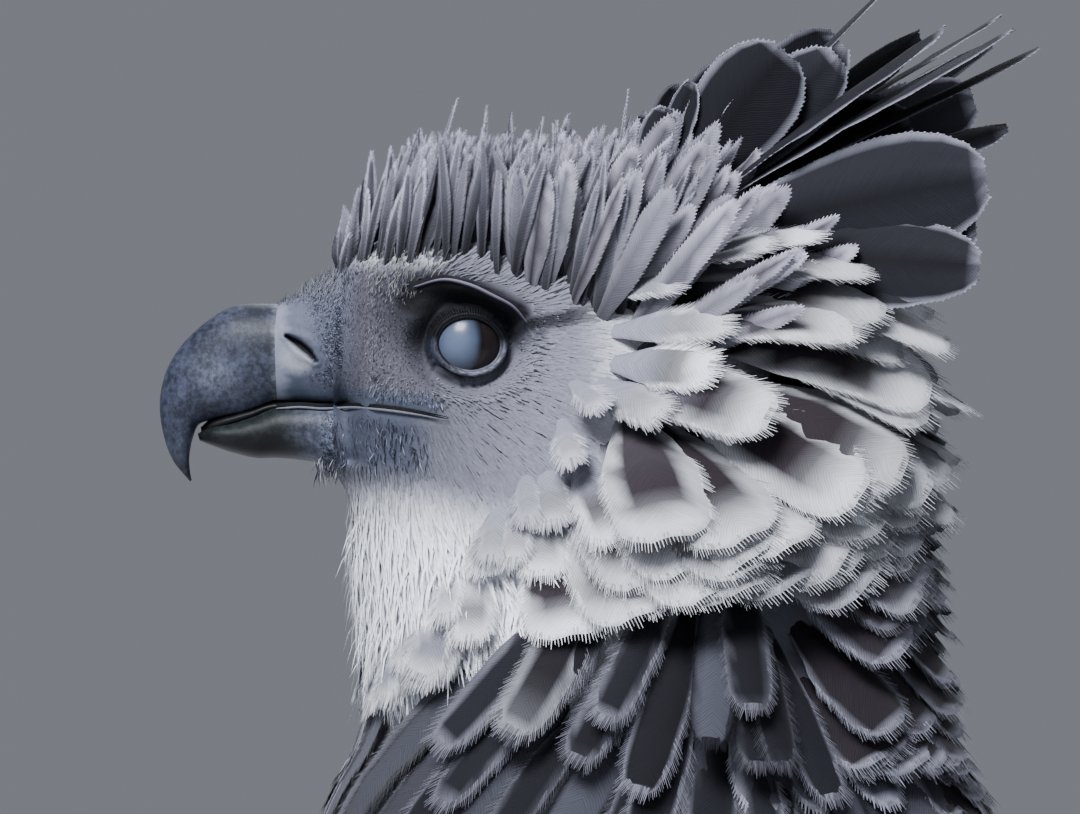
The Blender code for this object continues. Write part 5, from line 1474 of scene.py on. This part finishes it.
def make_crest(paint):
    coat = Coat("crest_feathers", paint, "plumage_dark", ("crest",))
    data = np.array(CREST)
    side, rise, length, width, offset, facing = data.T
    number = len(data)
    turn = np.radians(rise + RNG.normal(0.0, 0.8, number))
    spread = side * (0.04 + 0.012 * offset)
    ahead = unit(np.stack([spread, np.cos(turn), np.sin(turn)], axis=-1))
    shift = np.stack([0.8 * side * offset, np.full(number, 2.0), np.full(number, 1.0)], axis=-1)
    roots = CREST_SEAT + shift
    rows, columns = 18, 9
    t = vane_steps(rows)[None, :, None]
    droop = np.array([0.0, 0.02, -0.07])
    path = roots[:, None] + length[:, None, None] * (t * ahead[:, None] + t * t * droop)
    up = np.stack([np.zeros(number), -np.sin(turn), np.cos(turn)], axis=-1)
    sideways = np.stack([np.where(side == 0, 0.0, side), np.zeros(number), np.zeros(number)], axis=-1)
    normals = unit(facing[:, None] * sideways + (1.0 - np.abs(facing))[:, None] * up + 1e-4)
    normals = np.repeat(normals[:, None], rows, axis=1)
    widths = width[:, None] * outline("paddle", rows)[None, :]
    centre = jittered(np.tile(0.5 * SLATE, (number, 1)), 0.25, number)
    margin = np.tile(0.8 * PALE, (number, 1))
    colours = vane_colours(centre, margin, 0.10, rows, columns, 0.02, 0.5 * DARK)
    uv = level_uv(0.1 + 0.8 * np.arange(number) / number, 0.5)
    lay_vanes(coat, path, normals, widths, colours, uv, barbs=90, barb_length=0.5, camber=0.08,
              barb_dark=0.3, curl=0.1, rim_shade=0.95)
    places, turns = scatter(BODY_FORM, 4.1, 6.2, 6.0, 6.5, 0.35, (math.radians(-56), math.radians(56)))
    number = len(places)
    normals = BODY_FORM.normal(places, turns)
    roots = BODY_FORM.bare(places, turns) - 2.0 * normals
    rise = np.interp(places, [4.0, 4.7, 5.3, 6.2], [84.0, 79.0, 64.0, 30.0])
    rise = np.radians(rise + RNG.normal(0, 5, number))
    ahead = unit(np.stack([0.35 * normals[:, 0], np.cos(rise), np.sin(rise)], axis=-1))
    lengths = RNG.uniform(38.0, 54.0, number)
    tip_y = roots[:, 1] + lengths * np.cos(rise)
    top = np.interp(tip_y, [25.0, 50.0, 61.0, 75.0], [57.0, 64.0, 69.0, 80.0]) + EYE_HEIGHT
    allowed = (top * RNG.uniform(0.985, 1.0, number) - roots[:, 2]) / np.sin(rise)
    lengths = np.minimum(lengths, np.maximum(allowed, 14.0))
    rows, columns = 11, 5
    t = vane_steps(rows)[None, :, None]
    path = roots[:, None] + lengths[:, None, None] * (t * ahead[:, None] + t * t * 0.5 * droop)
    face = unit(np.stack([np.sign(np.sin(turns)), RNG.uniform(-0.9, 0.2, number),
                          RNG.uniform(0.0, 0.4, number)], axis=-1))
    widths = RNG.uniform(5.5, 9.5, number)[:, None] * outline("blade", rows)[None, :]
    centre = blend(0.3 * GREY + 0.7 * BROWNISH, 0.6 * PALE, RNG.random(number) ** 1.5)
    margin = jittered(np.tile([0.36, 0.35, 0.42], (number, 1)), 0.35, number)
    colours = vane_colours(centre, margin, 0.62, rows, columns, 0.08)
    # Painted shade: these feathers darken towards their roots, for the dark gaps between them.
    painted_root_shade = root_shade(rows, [0.0, 0.4, 0.8], [0.2, 0.6, 1.0])
    lay_vanes(coat, path, np.repeat(face[:, None], rows, axis=1), widths, colours * painted_root_shade,
              extent_uv(BODY_FORM, places, turns), barbs=60, barb_length=0.8, camber=0.14,
              barb_dark=0.5, curl=0.1)
    coat.build()


# The body, wings, tail and thighs

def under_wing(places, turns):
    """True where the folded wing covers the body."""
    angle = fold(turns)
    low = np.interp(places, [10.3, 10.9, 12.5, 14.5, 16.5, 17.5], [60, 48, 42, 40, 45, 50])
    high = np.interp(places, [10.3, 10.9, 12.5, 14.5, 16.5, 17.5], [88, 96, 101, 97, 92, 88])
    return (places > 10.4) & (places < 17.4) & (angle > low) & (angle < high)


def make_body_coat(paint):
    """Back, breast, belly and rump feathers, each over the next."""
    top = Coat("back_feathers", paint, "plumage_dark")
    front = Coat("breast_feathers", paint, "plumage_dark")
    places, turns = scatter(BODY_FORM, 9.2, 17.2, 13.5, 15.0, 0.3)
    keep = ~under_wing(places, turns)
    places, turns = places[keep], turns[keep]
    number = len(places)
    angle = fold(turns)
    big = smooth(9.4, 13.0, places)
    lengths = (34.0 + 20.0 * big) * RNG.uniform(0.9, 1.1, number)
    widths = (19.0 + 7.0 * big) * RNG.uniform(0.9, 1.12, number)
    limit_lift = np.where(angle < 45.0, 7.0, 5.0)
    rows, columns = 10, 5
    lifts = rising(number, rows, -1.5, limit_lift * RNG.uniform(0.75, 1.15, number), 0.75)
    centre, margin, share = body_colours(places, turns)
    centre, margin = jittered(centre, 0.14, number), jittered(margin, 0.12, number)
    colours = vane_colours(centre, margin, share, rows, columns, 0.1)
    for coat, chosen in ((top, angle < 90.0), (front, angle >= 90.0)):
        count = int(chosen.sum())
        lay_on(coat, BODY_FORM, *(a[chosen] for a in (places, turns, lengths, widths, lifts, colours)),
               "round", RNG.normal(0, 0.1, count), 17.9, barbs=44, barb_length=2.4, camber=0.10,
               roll=RNG.normal(0.0, 0.08, count), barb_dark=0.4, curl=0.15, first_barb=0.5)
        coat.build()


def tier_paths(side, count, first_root, last_root, first_tip, last_tip, rows, wobble=0.0):
    share = np.linspace(0.0, 1.0, count)[:, None]
    root = np.array(first_root) * (1 - share) + np.array(last_root) * share
    tip = np.array(first_tip) * (1 - share) + np.array(last_tip) * share
    tip = tip + RNG.normal(0.0, 1.0, tip.shape) * np.array([0.05, 1.0, 0.3]) * wobble
    t = vane_steps(rows)[None, :, None]
    data = root[:, None] + (tip - root)[:, None] * t
    turns = np.radians(data[..., 1]) * side
    path = BODY_FORM.point(data[..., 0], turns, data[..., 2])
    normals = BODY_FORM.normal(data[..., 0], turns)
    return path, normals, root


def bars(number, rows, lengths, spacing, pale, dark, start=0.3, width=0.35, fade=0.0):
    """Bands across a feather, from its root to its tip (n, rows, 3)."""
    t = vane_steps(rows)[None, :]
    where = t * lengths[:, None] / spacing
    wave = smooth(width, width - 0.12, np.abs(np.mod(where, 1.0) - 0.5) * 2.0)
    wave = wave * smooth(start - 0.05, start + 0.05, t) * (1.0 - fade * t)
    return blend(np.tile(dark, (number, rows, 1)), pale, wave)


WING_TIERS = [
    (13, (12.7, 98.0, 9.4), (12.9, 52.0, 9.4), (15.9, 95.0, 15.2), (16.6, 42.0, 15.2), 27.0, 16, "blade"),
    (12, (12.0, 99.0, 9.0), (12.2, 53.0, 9.0), (14.0, 98.0, 18.0), (14.3, 52.0, 18.0), 25.0, 11, "round"),
    (11, (11.7, 98.0, 9.2), (11.9, 52.0, 9.2), (13.3, 97.5, 18.8), (13.5, 52.0, 18.8), 23.0, 10, "round"),
    (11, (11.4, 97.0, 9.0), (11.5, 52.0, 9.0), (12.8, 97.0, 19.4), (12.9, 51.0, 19.4), 22.0, 10, "round"),
    (10, (11.1, 95.0, 8.4), (11.2, 53.0, 8.4), (12.3, 96.0, 19.4), (12.4, 53.0, 19.4), 20.0, 10, "round"),
    (9, (10.85, 92.0, 7.6), (10.9, 55.0, 7.6), (11.9, 94.0, 18.8), (12.0, 54.0, 18.8), 19.0, 10, "round"),
    (8, (10.6, 88.0, 5.6), (10.65, 58.0, 5.6), (11.5, 92.0, 16.6), (11.55, 56.0, 16.6), 18.0, 10, "round"),
    (7, (10.42, 84.0, 3.2), (10.45, 62.0, 3.2), (11.1, 89.0, 12.6), (11.15, 59.0, 12.6), 17.0, 10, "round"),
]
SCAPULARS = [
    (9, (10.4, 50.0, 2.0), (12.8, 34.0, 4.0), (11.7, 49.0, 18.0), (14.4, 33.0, 17.5), 25.0, 10, "round"),
    (8, (10.6, 42.0, 2.0), (13.0, 27.0, 3.0), (12.0, 41.0, 15.0), (14.8, 25.0, 14.0), 26.0, 10, "round"),
    (4, (12.6, 40.0, 8.0), (13.3, 41.0, 8.5), (14.9, 31.0, 18.8), (16.4, 33.0, 20.3), 27.0, 14, "blade"),
]


def make_wings(paint):
    for side, word in SIDES:
        coat = Coat(f"wing_feathers_{word}", paint, "plumage_dark", (f"wing_{word}",))
        for k in (1, 2):
            under = WING_TIERS[0]
            shift = 0.35 * (k - 1)
            first_root = (under[1][0] + shift, under[1][1], 5.0)
            last_root = (under[2][0] + shift, under[2][1], 5.0)
            path, normals, root = tier_paths(side, 10, first_root, last_root, under[3], under[4], 10)
            path = path - 3.0 * k * normals
            widths = 27.0 * outline("blade", 10)[None, :] * np.ones((10, 1))
            centre = np.tile(SLATE, (10, 1))
            colours = vane_colours(centre, np.tile(0.5 * GREY, (10, 1)), 0.12, 10, 5, 0.04)
            lay_vanes(coat, path, normals, widths, colours,
                      extent_uv(BODY_FORM, root[:, 0], np.radians(root[:, 1])), barbs=20,
                      camber=0.06, roll=-0.1 * side)
        lay_primaries(coat, side)
        for tier, (count, first_root, last_root, first_tip, last_tip, width, rows, kind) in enumerate(
                WING_TIERS + SCAPULARS):
            path, normals, root = tier_paths(side, count, first_root, last_root, first_tip, last_tip,
                                             rows, 1.0)
            wide = width * RNG.uniform(0.94, 1.08, count)
            columns = 7 if tier in (0, 10) else 5
            long = np.linalg.norm(path[:, -1] - path[:, 0], axis=1)
            if tier == 0:
                centre = bars(count, rows, long, 44.0, 0.30 * GREY + 0.5 * SLATE, 0.8 * SLATE)
            else:
                centre = jittered(np.tile(0.85 * SLATE, (count, 1)), 0.22, count)
            margin = jittered(np.tile(0.36 * GREY + 0.3 * SLATE, (count, 1)), 0.25, count)
            colours = vane_colours(centre, margin, 0.2, rows, columns, 0.05)
            roll = -side * (0.16 if tier == 0 else 0.10)
            lay_vanes(coat, path, normals, wide[:, None] * outline(kind, rows)[None, :], colours,
                      extent_uv(BODY_FORM, root[:, 0], np.radians(root[:, 1])), barbs=40,
                      barb_length=1.7, camber=0.08, roll=roll, barb_dark=0.2, curl=0.15)
        coat.build()


def primary_frame(t):
    root, tip = np.array(PRIMARY_ROOT), np.array(PRIMARY_TIP)
    data = root + (tip - root) * np.asarray(t, float)[..., None]
    turns = np.radians(data[..., 1])
    point = BODY_FORM.point(data[..., 0], turns, data[..., 2])
    return point, BODY_FORM.normal(data[..., 0], turns)


def lay_primaries(coat, side):
    """Nine primaries in one bundle over the tail's root."""
    point, out = primary_frame(np.array(0.62))
    ahead = primary_frame(np.array(0.64))[0] - point
    across = unit(np.cross(out, ahead))
    mirror = np.array([side, 1.0, 1.0])
    number, rows = 9, 18
    reaches = np.array([0.80, 0.86, 0.91, 0.95, 0.985, 1.0, 0.975, 0.93, 0.88])
    t = vane_steps(rows)[None, :] * reaches[:, None]
    middle = primary_frame(t)[0]
    along = np.gradient(middle, axis=1)
    out = unit(np.cross(along, across))
    shift = (np.arange(number) - 4.0)[:, None, None]
    path = middle + shift * (2.7 * across + 0.75 * out)
    widths = 25.0 * outline("long", rows)[None, :] * np.ones((number, 1))
    lengths = np.linalg.norm(np.diff(path, axis=1), axis=2).sum(axis=1)
    centre = bars(number, rows, lengths, 58.0, 0.34 * GREY + 0.4 * SLATE, 0.7 * SLATE, 0.25, 0.4)
    colours = vane_colours(centre, np.tile(0.4 * GREY, (number, 1)), 0.1, rows, 7, 0.03, 0.5 * DARK)
    uv = level_uv(0.70 + 0.02 * np.arange(number), 0.9)
    lay_vanes(coat, path * mirror, out * mirror, widths, colours, uv, barbs=80, barb_length=0.6,
              camber=0.06, barb_dark=0.2, curl=0.1)


def make_tail(paint):
    coat = Coat("tail_feathers", paint, "plumage_dark", ("tail",))
    turn = math.radians(TAIL_ANGLE)
    along = np.array([0.0, math.cos(turn), math.sin(turn)])
    up = np.array([0.0, -math.sin(turn), math.cos(turn)])
    root = np.array([0.0, *TAIL_ROOT])
    number, rows, columns = 12, 30, 7
    k = np.arange(number)
    pair, side = k // 2, np.where(k % 2 == 1, 1, -1)
    spread = side * (pair + 0.35) / (number // 2 - 0.65)
    layer = (0.5 * (number - 1) - k) * 1.15
    length = TAIL_LENGTH * (1.0 - 0.05 * spread ** 2)
    t = 0.02 + 0.98 * vane_steps(rows, 0.9)[None, :, None]
    reach = (0.32 + 0.68 * t[..., 0] * (length / TAIL_LENGTH)[:, None]) * 52.0 * spread[:, None]
    path = (root + (t * length[:, None, None] + 0.04 * TAIL_LENGTH) * along
            + layer[:, None, None] * up + reach[..., None] * np.array([1.0, 0.0, 0.0]))
    widths = 46.0 * outline("tail", rows)[None, :] * np.ones((number, 1))
    centre = bars(number, rows, length, 92.0, 0.62 * GREY + 0.1 * PALE, 0.75 * SLATE, 0.12, 0.42)
    colours = vane_colours(centre, np.tile(0.7 * GREY, (number, 1)), 0.08, rows, columns, 0.02, 0.5 * DARK)
    uv = level_uv(0.1 + 0.06 * k, 0.2)
    lay_vanes(coat, path, np.broadcast_to(up, path.shape).copy(), widths, colours, uv, barbs=90,
              barb_length=0.6, camber=0.03, barb_dark=0.2, curl=0.1)
    for face, tint, edge in ((1.0, 0.9 * SLATE, 0.6 * GREY), (-1.0, 0.85 * WHITE, WHITE)):
        for row, (reach_share, wide) in enumerate(((0.40, 34.0), (0.31, 32.0), (0.22, 30.0))):
            number, rows = 9, 11
            spread = np.linspace(-1.0, 1.0, number)
            t = vane_steps(rows)[None, :, None]
            long = TAIL_LENGTH * (reach_share - 0.06 * np.abs(spread))[:, None, None]
            height = (8.2 + 1.6 * row) * face * (1.0 - 0.25 * np.abs(spread))
            path = (root + (t * long + 0.02 * TAIL_LENGTH) * along + height[:, None, None] * up
                    + (spread * 34.0)[:, None, None] * np.array([1.0, 0.0, 0.0]))
            widths = wide * outline("round", rows)[None, :] * np.ones((number, 1))
            centre = jittered(np.tile(tint, (number, 1)), 0.15, number)
            colours = vane_colours(centre, np.tile(edge, (number, 1)), 0.2, rows, 5, 0.05)
            uv = level_uv(0.1 + 0.8 * (spread + 1) / 2, 0.6 + 0.1 * row)
            normals = np.broadcast_to(face * up, path.shape).copy()
            lay_vanes(coat, path, normals, widths, colours, uv, barbs=36, camber=0.08, barb_dark=0.2,
                      curl=0.3)
    coat.build()


THIGH_BAR_WIDTH = 0.03
LOWEST_THIGH_FEATHERS = 34


def thin_bar(gap):
    return np.exp(-(gap / THIGH_BAR_WIDTH) ** 2)


def barred(dark):
    """White that turns dark where the bars run."""
    return blend(0.95 * WHITE, 1.2 * SLATE, np.clip(dark, 0.0, 1.0))


def make_thighs(paint):
    """White thighs with fine dark bars; the longest feathers hang round the heel."""
    for side, word in SIDES:
        coat = Coat(f"thigh_feathers_{word}", paint, "plumage_pale")
        form = Stack(THIGH, side)
        places, turns = scatter(form, 0.1, 4.75, 11.0, 11.5, 0.35)
        number = len(places)
        lengths = (36.0 - 8.0 * smooth(2.0, 5.0, places)) * RNG.uniform(0.9, 1.1, number)
        widths = (17.0 - 4.0 * smooth(2.0, 5.0, places)) * RNG.uniform(0.85, 1.1, number)
        rows, columns = 15, 5
        spot = form.bare(places, turns)
        lifts = rising(number, rows, -1.6, 3.6 * RNG.uniform(0.7, 1.15, number), 0.8)
        t = vane_steps(rows)[None, :]
        bar = 0.86 + RNG.uniform(-0.03, 0.03, (number, 1))
        centre = barred(thin_bar(t - bar) + thin_bar(t - bar + 0.26))
        margin = np.tile(0.98 * WHITE, (number, 1))
        colours = vane_colours(centre, margin, 0.06, rows, columns, 0.02)
        outside = side * spot[:, 0] > 0
        lengths = np.where(outside, lengths, lengths * 0.9)
        lay_on(coat, form, places, turns, lengths, widths, lifts, colours, "round",
               RNG.normal(0, 0.08, number), barbs=26, barb_length=2.2, camber=0.1,
               roll=RNG.normal(0.0, 0.08, number), barb_dark=0.2, curl=0.3)
        number, rows = LOWEST_THIGH_FEATHERS, 24
        turns = 2 * math.pi * (np.arange(number) + RNG.uniform(-0.3, 0.3, number)) / number
        base = form.point(np.full(number, 4.5), turns, np.full(number, 0.0))
        out = form.normal(np.full(number, 4.5), turns)
        long = RNG.uniform(38.0, 52.0, number)
        t = vane_steps(rows)[None, :, None]
        down = np.array([0.0, 0.08, -1.0])
        path = base[:, None] + long[:, None, None] * t * down + (1.0 + 1.0 * t - 6.0 * t * t) * out[:, None]
        path[..., 2] = np.maximum(path[..., 2], 100.0)
        line = vane_steps(rows)[None, :]
        first = RNG.uniform(0.80, 0.93, (number, 1))
        centre = barred(sum(thin_bar(line - first + 0.25 * k) for k in range(3)))
        colours = vane_colours(centre, np.tile(WHITE, (number, 1)), 0.08, rows, 5, 0.03)
        widths = outline("blade", rows)[None, :] * RNG.uniform(11.0, 16.0, (number, 1))
        lay_vanes(coat, path, np.repeat(out[:, None], rows, axis=1), widths, colours,
                  extent_uv(form, np.full(number, 4.5), turns), barbs=36, barb_length=2.2,
                  camber=0.1, roll=0.06, barb_dark=0.2, curl=0.3)
        coat.build()


# Legs and claws

def claw_arc(chord):
    return chord / (2 * math.sin(0.5 * math.radians(CLAW_START_RISE + CLAW_END_FALL)))


def toe_end_height(chord):
    rise = math.cos(math.radians(CLAW_START_RISE)) - math.cos(math.radians(CLAW_END_FALL))
    return CLAW_TIP_HEIGHT + claw_arc(chord) * rise


def toe_points(side, heading, length, chord):
    turn = math.radians(heading)
    ahead = np.array([side * math.sin(turn), -math.cos(turn), 0.0])
    end = toe_end_height(chord)
    slope = math.tan(math.radians(CLAW_START_RISE))
    marks = [(0.06, 19.0), (0.36, 12.6), (0.66, 11.0), (0.86, end - 0.14 * length * slope), (1.0, end)]
    start = np.array([side * FOOT_CENTRE[0], FOOT_CENTRE[1], 0.0])
    return ahead, np.array([start + a * length * ahead + np.array([0.0, 0.0, z]) for a, z in marks])


def voxel_copy(name, verts, groups, size, paint):
    """The outer skin of several closed shapes that pass through one another."""
    rough = make_mesh(name + "_rough", verts, groups, paint)
    change = rough.modifiers.new("remesh", "REMESH")
    change.mode = "VOXEL"
    change.voxel_size = size * MM
    ease = rough.modifiers.new("smooth", "SMOOTH")
    ease.factor = 0.5
    ease.iterations = 4
    bpy.context.view_layer.update()
    graph = bpy.context.evaluated_depsgraph_get()
    mesh = bpy.data.meshes.new_from_object(rough.evaluated_get(graph))
    points = np.empty(len(mesh.vertices) * 3)
    mesh.vertices.foreach_get("co", points)
    points = points.reshape(-1, 3) / MM - np.array([0.0, EYE_SHIFT, 0.0])
    faces = {3: [], 4: []}
    for polygon in mesh.polygons:
        faces[len(polygon.vertices)].append(tuple(polygon.vertices))
    bpy.data.objects.remove(rough)
    return points, [np.array(g, int) for g in faces.values() if g]


def plate(path, normals, across, half, rise, thickness):
    """A curved scute over a leg: two rows of points and a raised lower edge."""
    s = np.linspace(-1.0, 1.0, 9)
    rows = []
    for point, normal, wide, lift in zip(path, normals, half, rise):
        bend = 1.0 - s ** 2
        height = lift + thickness * bend - wide * 0.42 * s ** 2
        rows.append(point + (wide * s)[:, None] * across + height[:, None] * normal)
    return np.concatenate(rows), [grid_faces(len(path), 9)]


YELLOW = np.array([0.62, 0.44, 0.10])
CLAW_BLACK = np.array([0.022, 0.022, 0.026])
SHIN_SCUTES = 9
TOE_RUN = 40


def make_legs(paint, plate_paint, claw_paint):
    for side, word in SIDES:
        shapes, scutes, claws = [], [], []
        tarsus = Stack(TARSUS, side)
        verts, groups = closed_form(tarsus, 0.0, tarsus.last, 40, 32, -0.6)
        shapes.append((verts, groups, YELLOW))
        hub = np.array([side * FOOT_CENTRE[0], FOOT_CENTRE[1], 19.0])
        verts, groups = sphere_shape(np.array([side * 1e-6, 0.0, 0.0]), 1.0, 24, 32)
        verts = hub + verts * np.array([HUB_RADIUS, HUB_RADIUS, 17.5])
        shapes.append((verts, groups, YELLOW))
        for k in range(SHIN_SCUTES):
            place = tarsus.last * (0.05 + 0.9 * (k + 0.5) / SHIN_SCUTES)
            level = curve_value(np.array(TARSUS), np.array(place))
            z, x, y, half_x, half_y = level
            front = np.array([side * x, y - half_y + 0.5, z])
            path = [front + np.array([0.0, 0.5, 6.2]), front + np.array([0.0, 0.0, 2.0]),
                    front + np.array([0.0, -0.5, -2.5]), front + np.array([0.0, -0.3, -6.0])]
            verts, groups = plate(path, [np.array([0.0, -1.0, 0.0])] * 4, np.array([1.0, 0.0, 0.0]),
                                  [half_x * 0.74, half_x * 0.84, half_x * 0.84, half_x * 0.66],
                                  [-1.0, 0.6, 1.4, -0.6], 1.7)
            scutes.append((verts, groups, YELLOW * RNG.uniform(0.9, 1.15)))
        for number, (heading, length, radius, chord, claw_radius) in TOES.items():
            ahead, marks = toe_points(side, heading, length, chord)
            run = curve_run(marks, TOE_RUN)
            radii = curve_run(np.array([[radius * 1.12], [radius * 0.9], [radius * 1.02], [radius * 0.84],
                                        [claw_radius + 0.7]]), TOE_RUN)[:, 0]
            t = np.linspace(0.0, 1.0, TOE_RUN)
            radii = radii * (1.0 + 0.035 * np.cos(t * 2 * math.pi * 3.0))
            verts, groups = tube(run, radii, 24)
            verts[:, 2] = np.maximum(verts[:, 2], 0.6)
            shapes.append((verts, groups, YELLOW))
            across = unit(np.cross(ahead, np.array([0.0, 0.0, 1.0])))
            plates = 9 if number == "3" else 7
            for k in range(plates):
                share = 0.26 + 0.70 * (k + 0.5) / plates
                span = 0.50 * 0.70 / plates
                spots = np.clip(share + np.array([-span, -0.3 * span, 0.4 * span, span]), 0, 1)
                path = curve_value(marks, spots * (len(marks) - 1.0))
                local = np.interp(spots, t, radii)
                tangent = unit(np.gradient(path, axis=0))
                normals = unit(np.cross(across, tangent))
                normals = normals * np.sign(normals[:, 2:3])
                base = path + normals * (local - 0.9)[:, None]
                verts, groups = plate(list(base), list(normals), across, list(local * 0.82),
                                      [-0.7, 0.9, 1.3, -0.5], 1.6)
                scutes.append((verts, groups, YELLOW * RNG.uniform(0.88, 1.15)))
            claws.append((number, *claw_shape(marks, ahead, chord, claw_radius)))
        verts, groups, _ = join_shapes(shapes)
        verts, groups = voxel_copy(f"leg_{word}", verts, groups, 1.3, paint)
        verts[:, 2] = np.where(verts[:, 2] < 0.9, 0.05, verts[:, 2])
        # Painted shade: the leg skin darkens towards the floor.
        shade = smooth(0.0, 14.0, verts[:, 2])
        tint = blend(0.45 * YELLOW, 0.80 * YELLOW, shade)
        plain_piece(f"leg_skin_{word}", verts, groups, paint, tint, "leg_skin",
                    f"tarsus_{word}", f"foot_{word}")
        verts, groups, colours = join_shapes(scutes)
        plain_piece(f"scutes_{word}", verts, groups, plate_paint, colours, "leg_skin")
        for number, verts, groups in claws:
            tint = np.tile(CLAW_BLACK, (len(verts), 1))
            plain_piece(f"talon_{word}_{number}", verts, groups, claw_paint, tint, "claw_horn",
                        f"claw_{word}_{number}")


def claw_shape(marks, ahead, chord, radius):
    """A claw along a circular arc from the toe's end down to its point."""
    up = np.array([0.0, 0.0, 1.0])
    run = curve_run(marks, 7)
    last = unit(run[-1] - run[-2])
    rise = math.atan2(last[2], math.hypot(last[0], last[1]))
    fall = -math.radians(CLAW_END_FALL)
    steps = 28
    turns = rise + (fall - rise) * (np.arange(steps) + 0.5) / steps
    stride = claw_arc(chord) * (rise - fall) / steps
    moves = stride * (np.cos(turns)[:, None] * ahead + np.sin(turns)[:, None] * up)
    path = np.concatenate([[marks[-1] + 0.3 * last], marks[-1] + 0.3 * last + np.cumsum(moves, axis=0)])
    path[:, 2] -= (path[-1, 2] - CLAW_TIP_HEIGHT) * np.linspace(0.0, 1.0, steps + 1)
    t = np.linspace(0.0, 1.0, steps + 1)
    radii = 0.5 + (radius - 0.5) * (1.0 - t ** 1.35)
    across = np.cross(ahead, up)
    verts, groups = tube(path, radii, 20, across)
    centre = np.repeat(path, 20, axis=0)
    off = verts[:len(centre)] - centre
    side = off @ across
    verts[:len(centre)] = centre + off - 0.2 * side[:, None] * across
    return verts, groups


# Floor, light and camera

FLOOR_HALF = 6
FLOOR_COLOUR = (0.62, 0.63, 0.65, 1.0)
SKY_COLOUR = (0.60, 0.64, 0.72, 1.0)
SKY_STRENGTH = 0.32
LAMP_COLOUR = (0.93, 0.95, 1.0)
# Name, place, aim, size and power
LAMPS = [
    ("key", (1.5, -0.9, 2.4), (0.0, -0.2, 0.6), 0.9, 165.0),
    ("fill", (1.9, -1.8, 0.9), (0.0, -0.1, 0.5), 2.2, 10.0),
    ("back", (-1.9, 0.4, 2.2), (0.0, 0.0, 0.5), 2.0, 40.0),
]


def make_stage():
    mesh = bpy.data.meshes.new("floor")
    far = FLOOR_HALF
    mesh.from_pydata([(-far, -far, 0), (far, -far, 0), (far, far, 0), (-far, far, 0)], [], [(0, 1, 2, 3)])
    floor = bpy.data.objects.new("floor", mesh)
    bpy.context.scene.collection.objects.link(floor)
    paint, _, shader = new_material("floor_paint", 0.85, 0.2)
    shader.inputs["Base Color"].default_value = FLOOR_COLOUR
    mesh.materials.append(paint)
    world = bpy.data.worlds.new("studio")
    bpy.context.scene.world = world
    world.use_nodes = True
    background = world.node_tree.nodes["Background"]
    background.inputs["Color"].default_value = SKY_COLOUR
    background.inputs["Strength"].default_value = SKY_STRENGTH
    for name, place, aim, size, power in LAMPS:
        data = bpy.data.lights.new(name, "AREA")
        data.size = size
        data.energy = power
        data.color = LAMP_COLOUR
        lamp = bpy.data.objects.new(name, data)
        lamp.location = place
        lamp.rotation_euler = (Vector(aim) - Vector(place)).to_track_quat("-Z", "Y").to_euler()
        bpy.context.scene.collection.objects.link(lamp)


SCALE = 0.2755
PICTURE_WIDTH = 1080
PICTURE_MIDDLE = (540.0, 407.0)
EYE_IN_PICTURE = (468.0, 345.0)
SENSOR_WIDTH = 36.0
CAMERA_DISTANCE = 2.5


def make_camera():
    """The photograph's side view: 0.2755 mm to the pixel at the middle of the head."""
    data = bpy.data.cameras.new("camera")
    width = PICTURE_WIDTH * SCALE * MM
    data.sensor_width = SENSOR_WIDTH
    data.sensor_fit = "HORIZONTAL"
    data.lens = SENSOR_WIDTH * CAMERA_DISTANCE / width
    data.clip_end = 50.0
    camera = bpy.data.objects.new("camera", data)
    y = (EYE_SHIFT + (PICTURE_MIDDLE[0] - EYE_IN_PICTURE[0]) * SCALE) * MM
    z = (EYE_HEIGHT - (PICTURE_MIDDLE[1] - EYE_IN_PICTURE[1]) * SCALE) * MM
    camera.location = (CAMERA_DISTANCE, y, z)
    camera.rotation_euler = Matrix(((0, 0, 1), (1, 0, 0), (0, 1, 0))).to_euler()
    bpy.context.scene.collection.objects.link(camera)
    bpy.context.scene.camera = camera


def make_all():
    feather = feather_material("plumage", 0.009, 0.34)
    soft = feather_material("plumage_soft", 0.010, 0.52, 0.8)
    tuft = feather_material("plumage_tufts", 0.02, 0.15, 0.8)
    skin = skin_material("skin_paint", roughness=0.7, scale=900.0, strength=0.5, distance=0.0006)
    lid = skin_material("lid_paint", roughness=0.5, scale=1400.0, strength=0.6, distance=0.0004)
    horn = horn_material("bill_paint", 0.46)
    cere = skin_material("cere_paint", roughness=0.5, scale=620.0, strength=0.5, distance=0.0005,
                         low=0.7, high=1.35)
    leg = skin_material("leg_paint", roughness=0.55, scale=240.0, strength=0.7, distance=0.0009,
                        low=0.8, high=1.15, cells=True)
    scute = skin_material("scute_paint", roughness=0.45, scale=420.0, strength=0.3, distance=0.0004,
                          low=0.85, high=1.15)
    claw = skin_material("claw_paint", roughness=0.28, scale=300.0, strength=0.2, distance=0.0003,
                         low=0.8, high=1.5)
    make_skin(skin)
    make_lids(lid)
    make_lips(skin)
    make_bill(horn)
    make_cere(cere)
    make_eyes()
    make_face(tuft)
    make_lashes(tuft)
    make_crown(soft)
    make_ruff(soft)
    make_crest(feather)
    make_body_coat(feather)
    make_wings(feather)
    make_tail(feather)
    make_thighs(soft)
    make_legs(leg, scute, claw)
    make_stage()
    make_camera()


make_all()
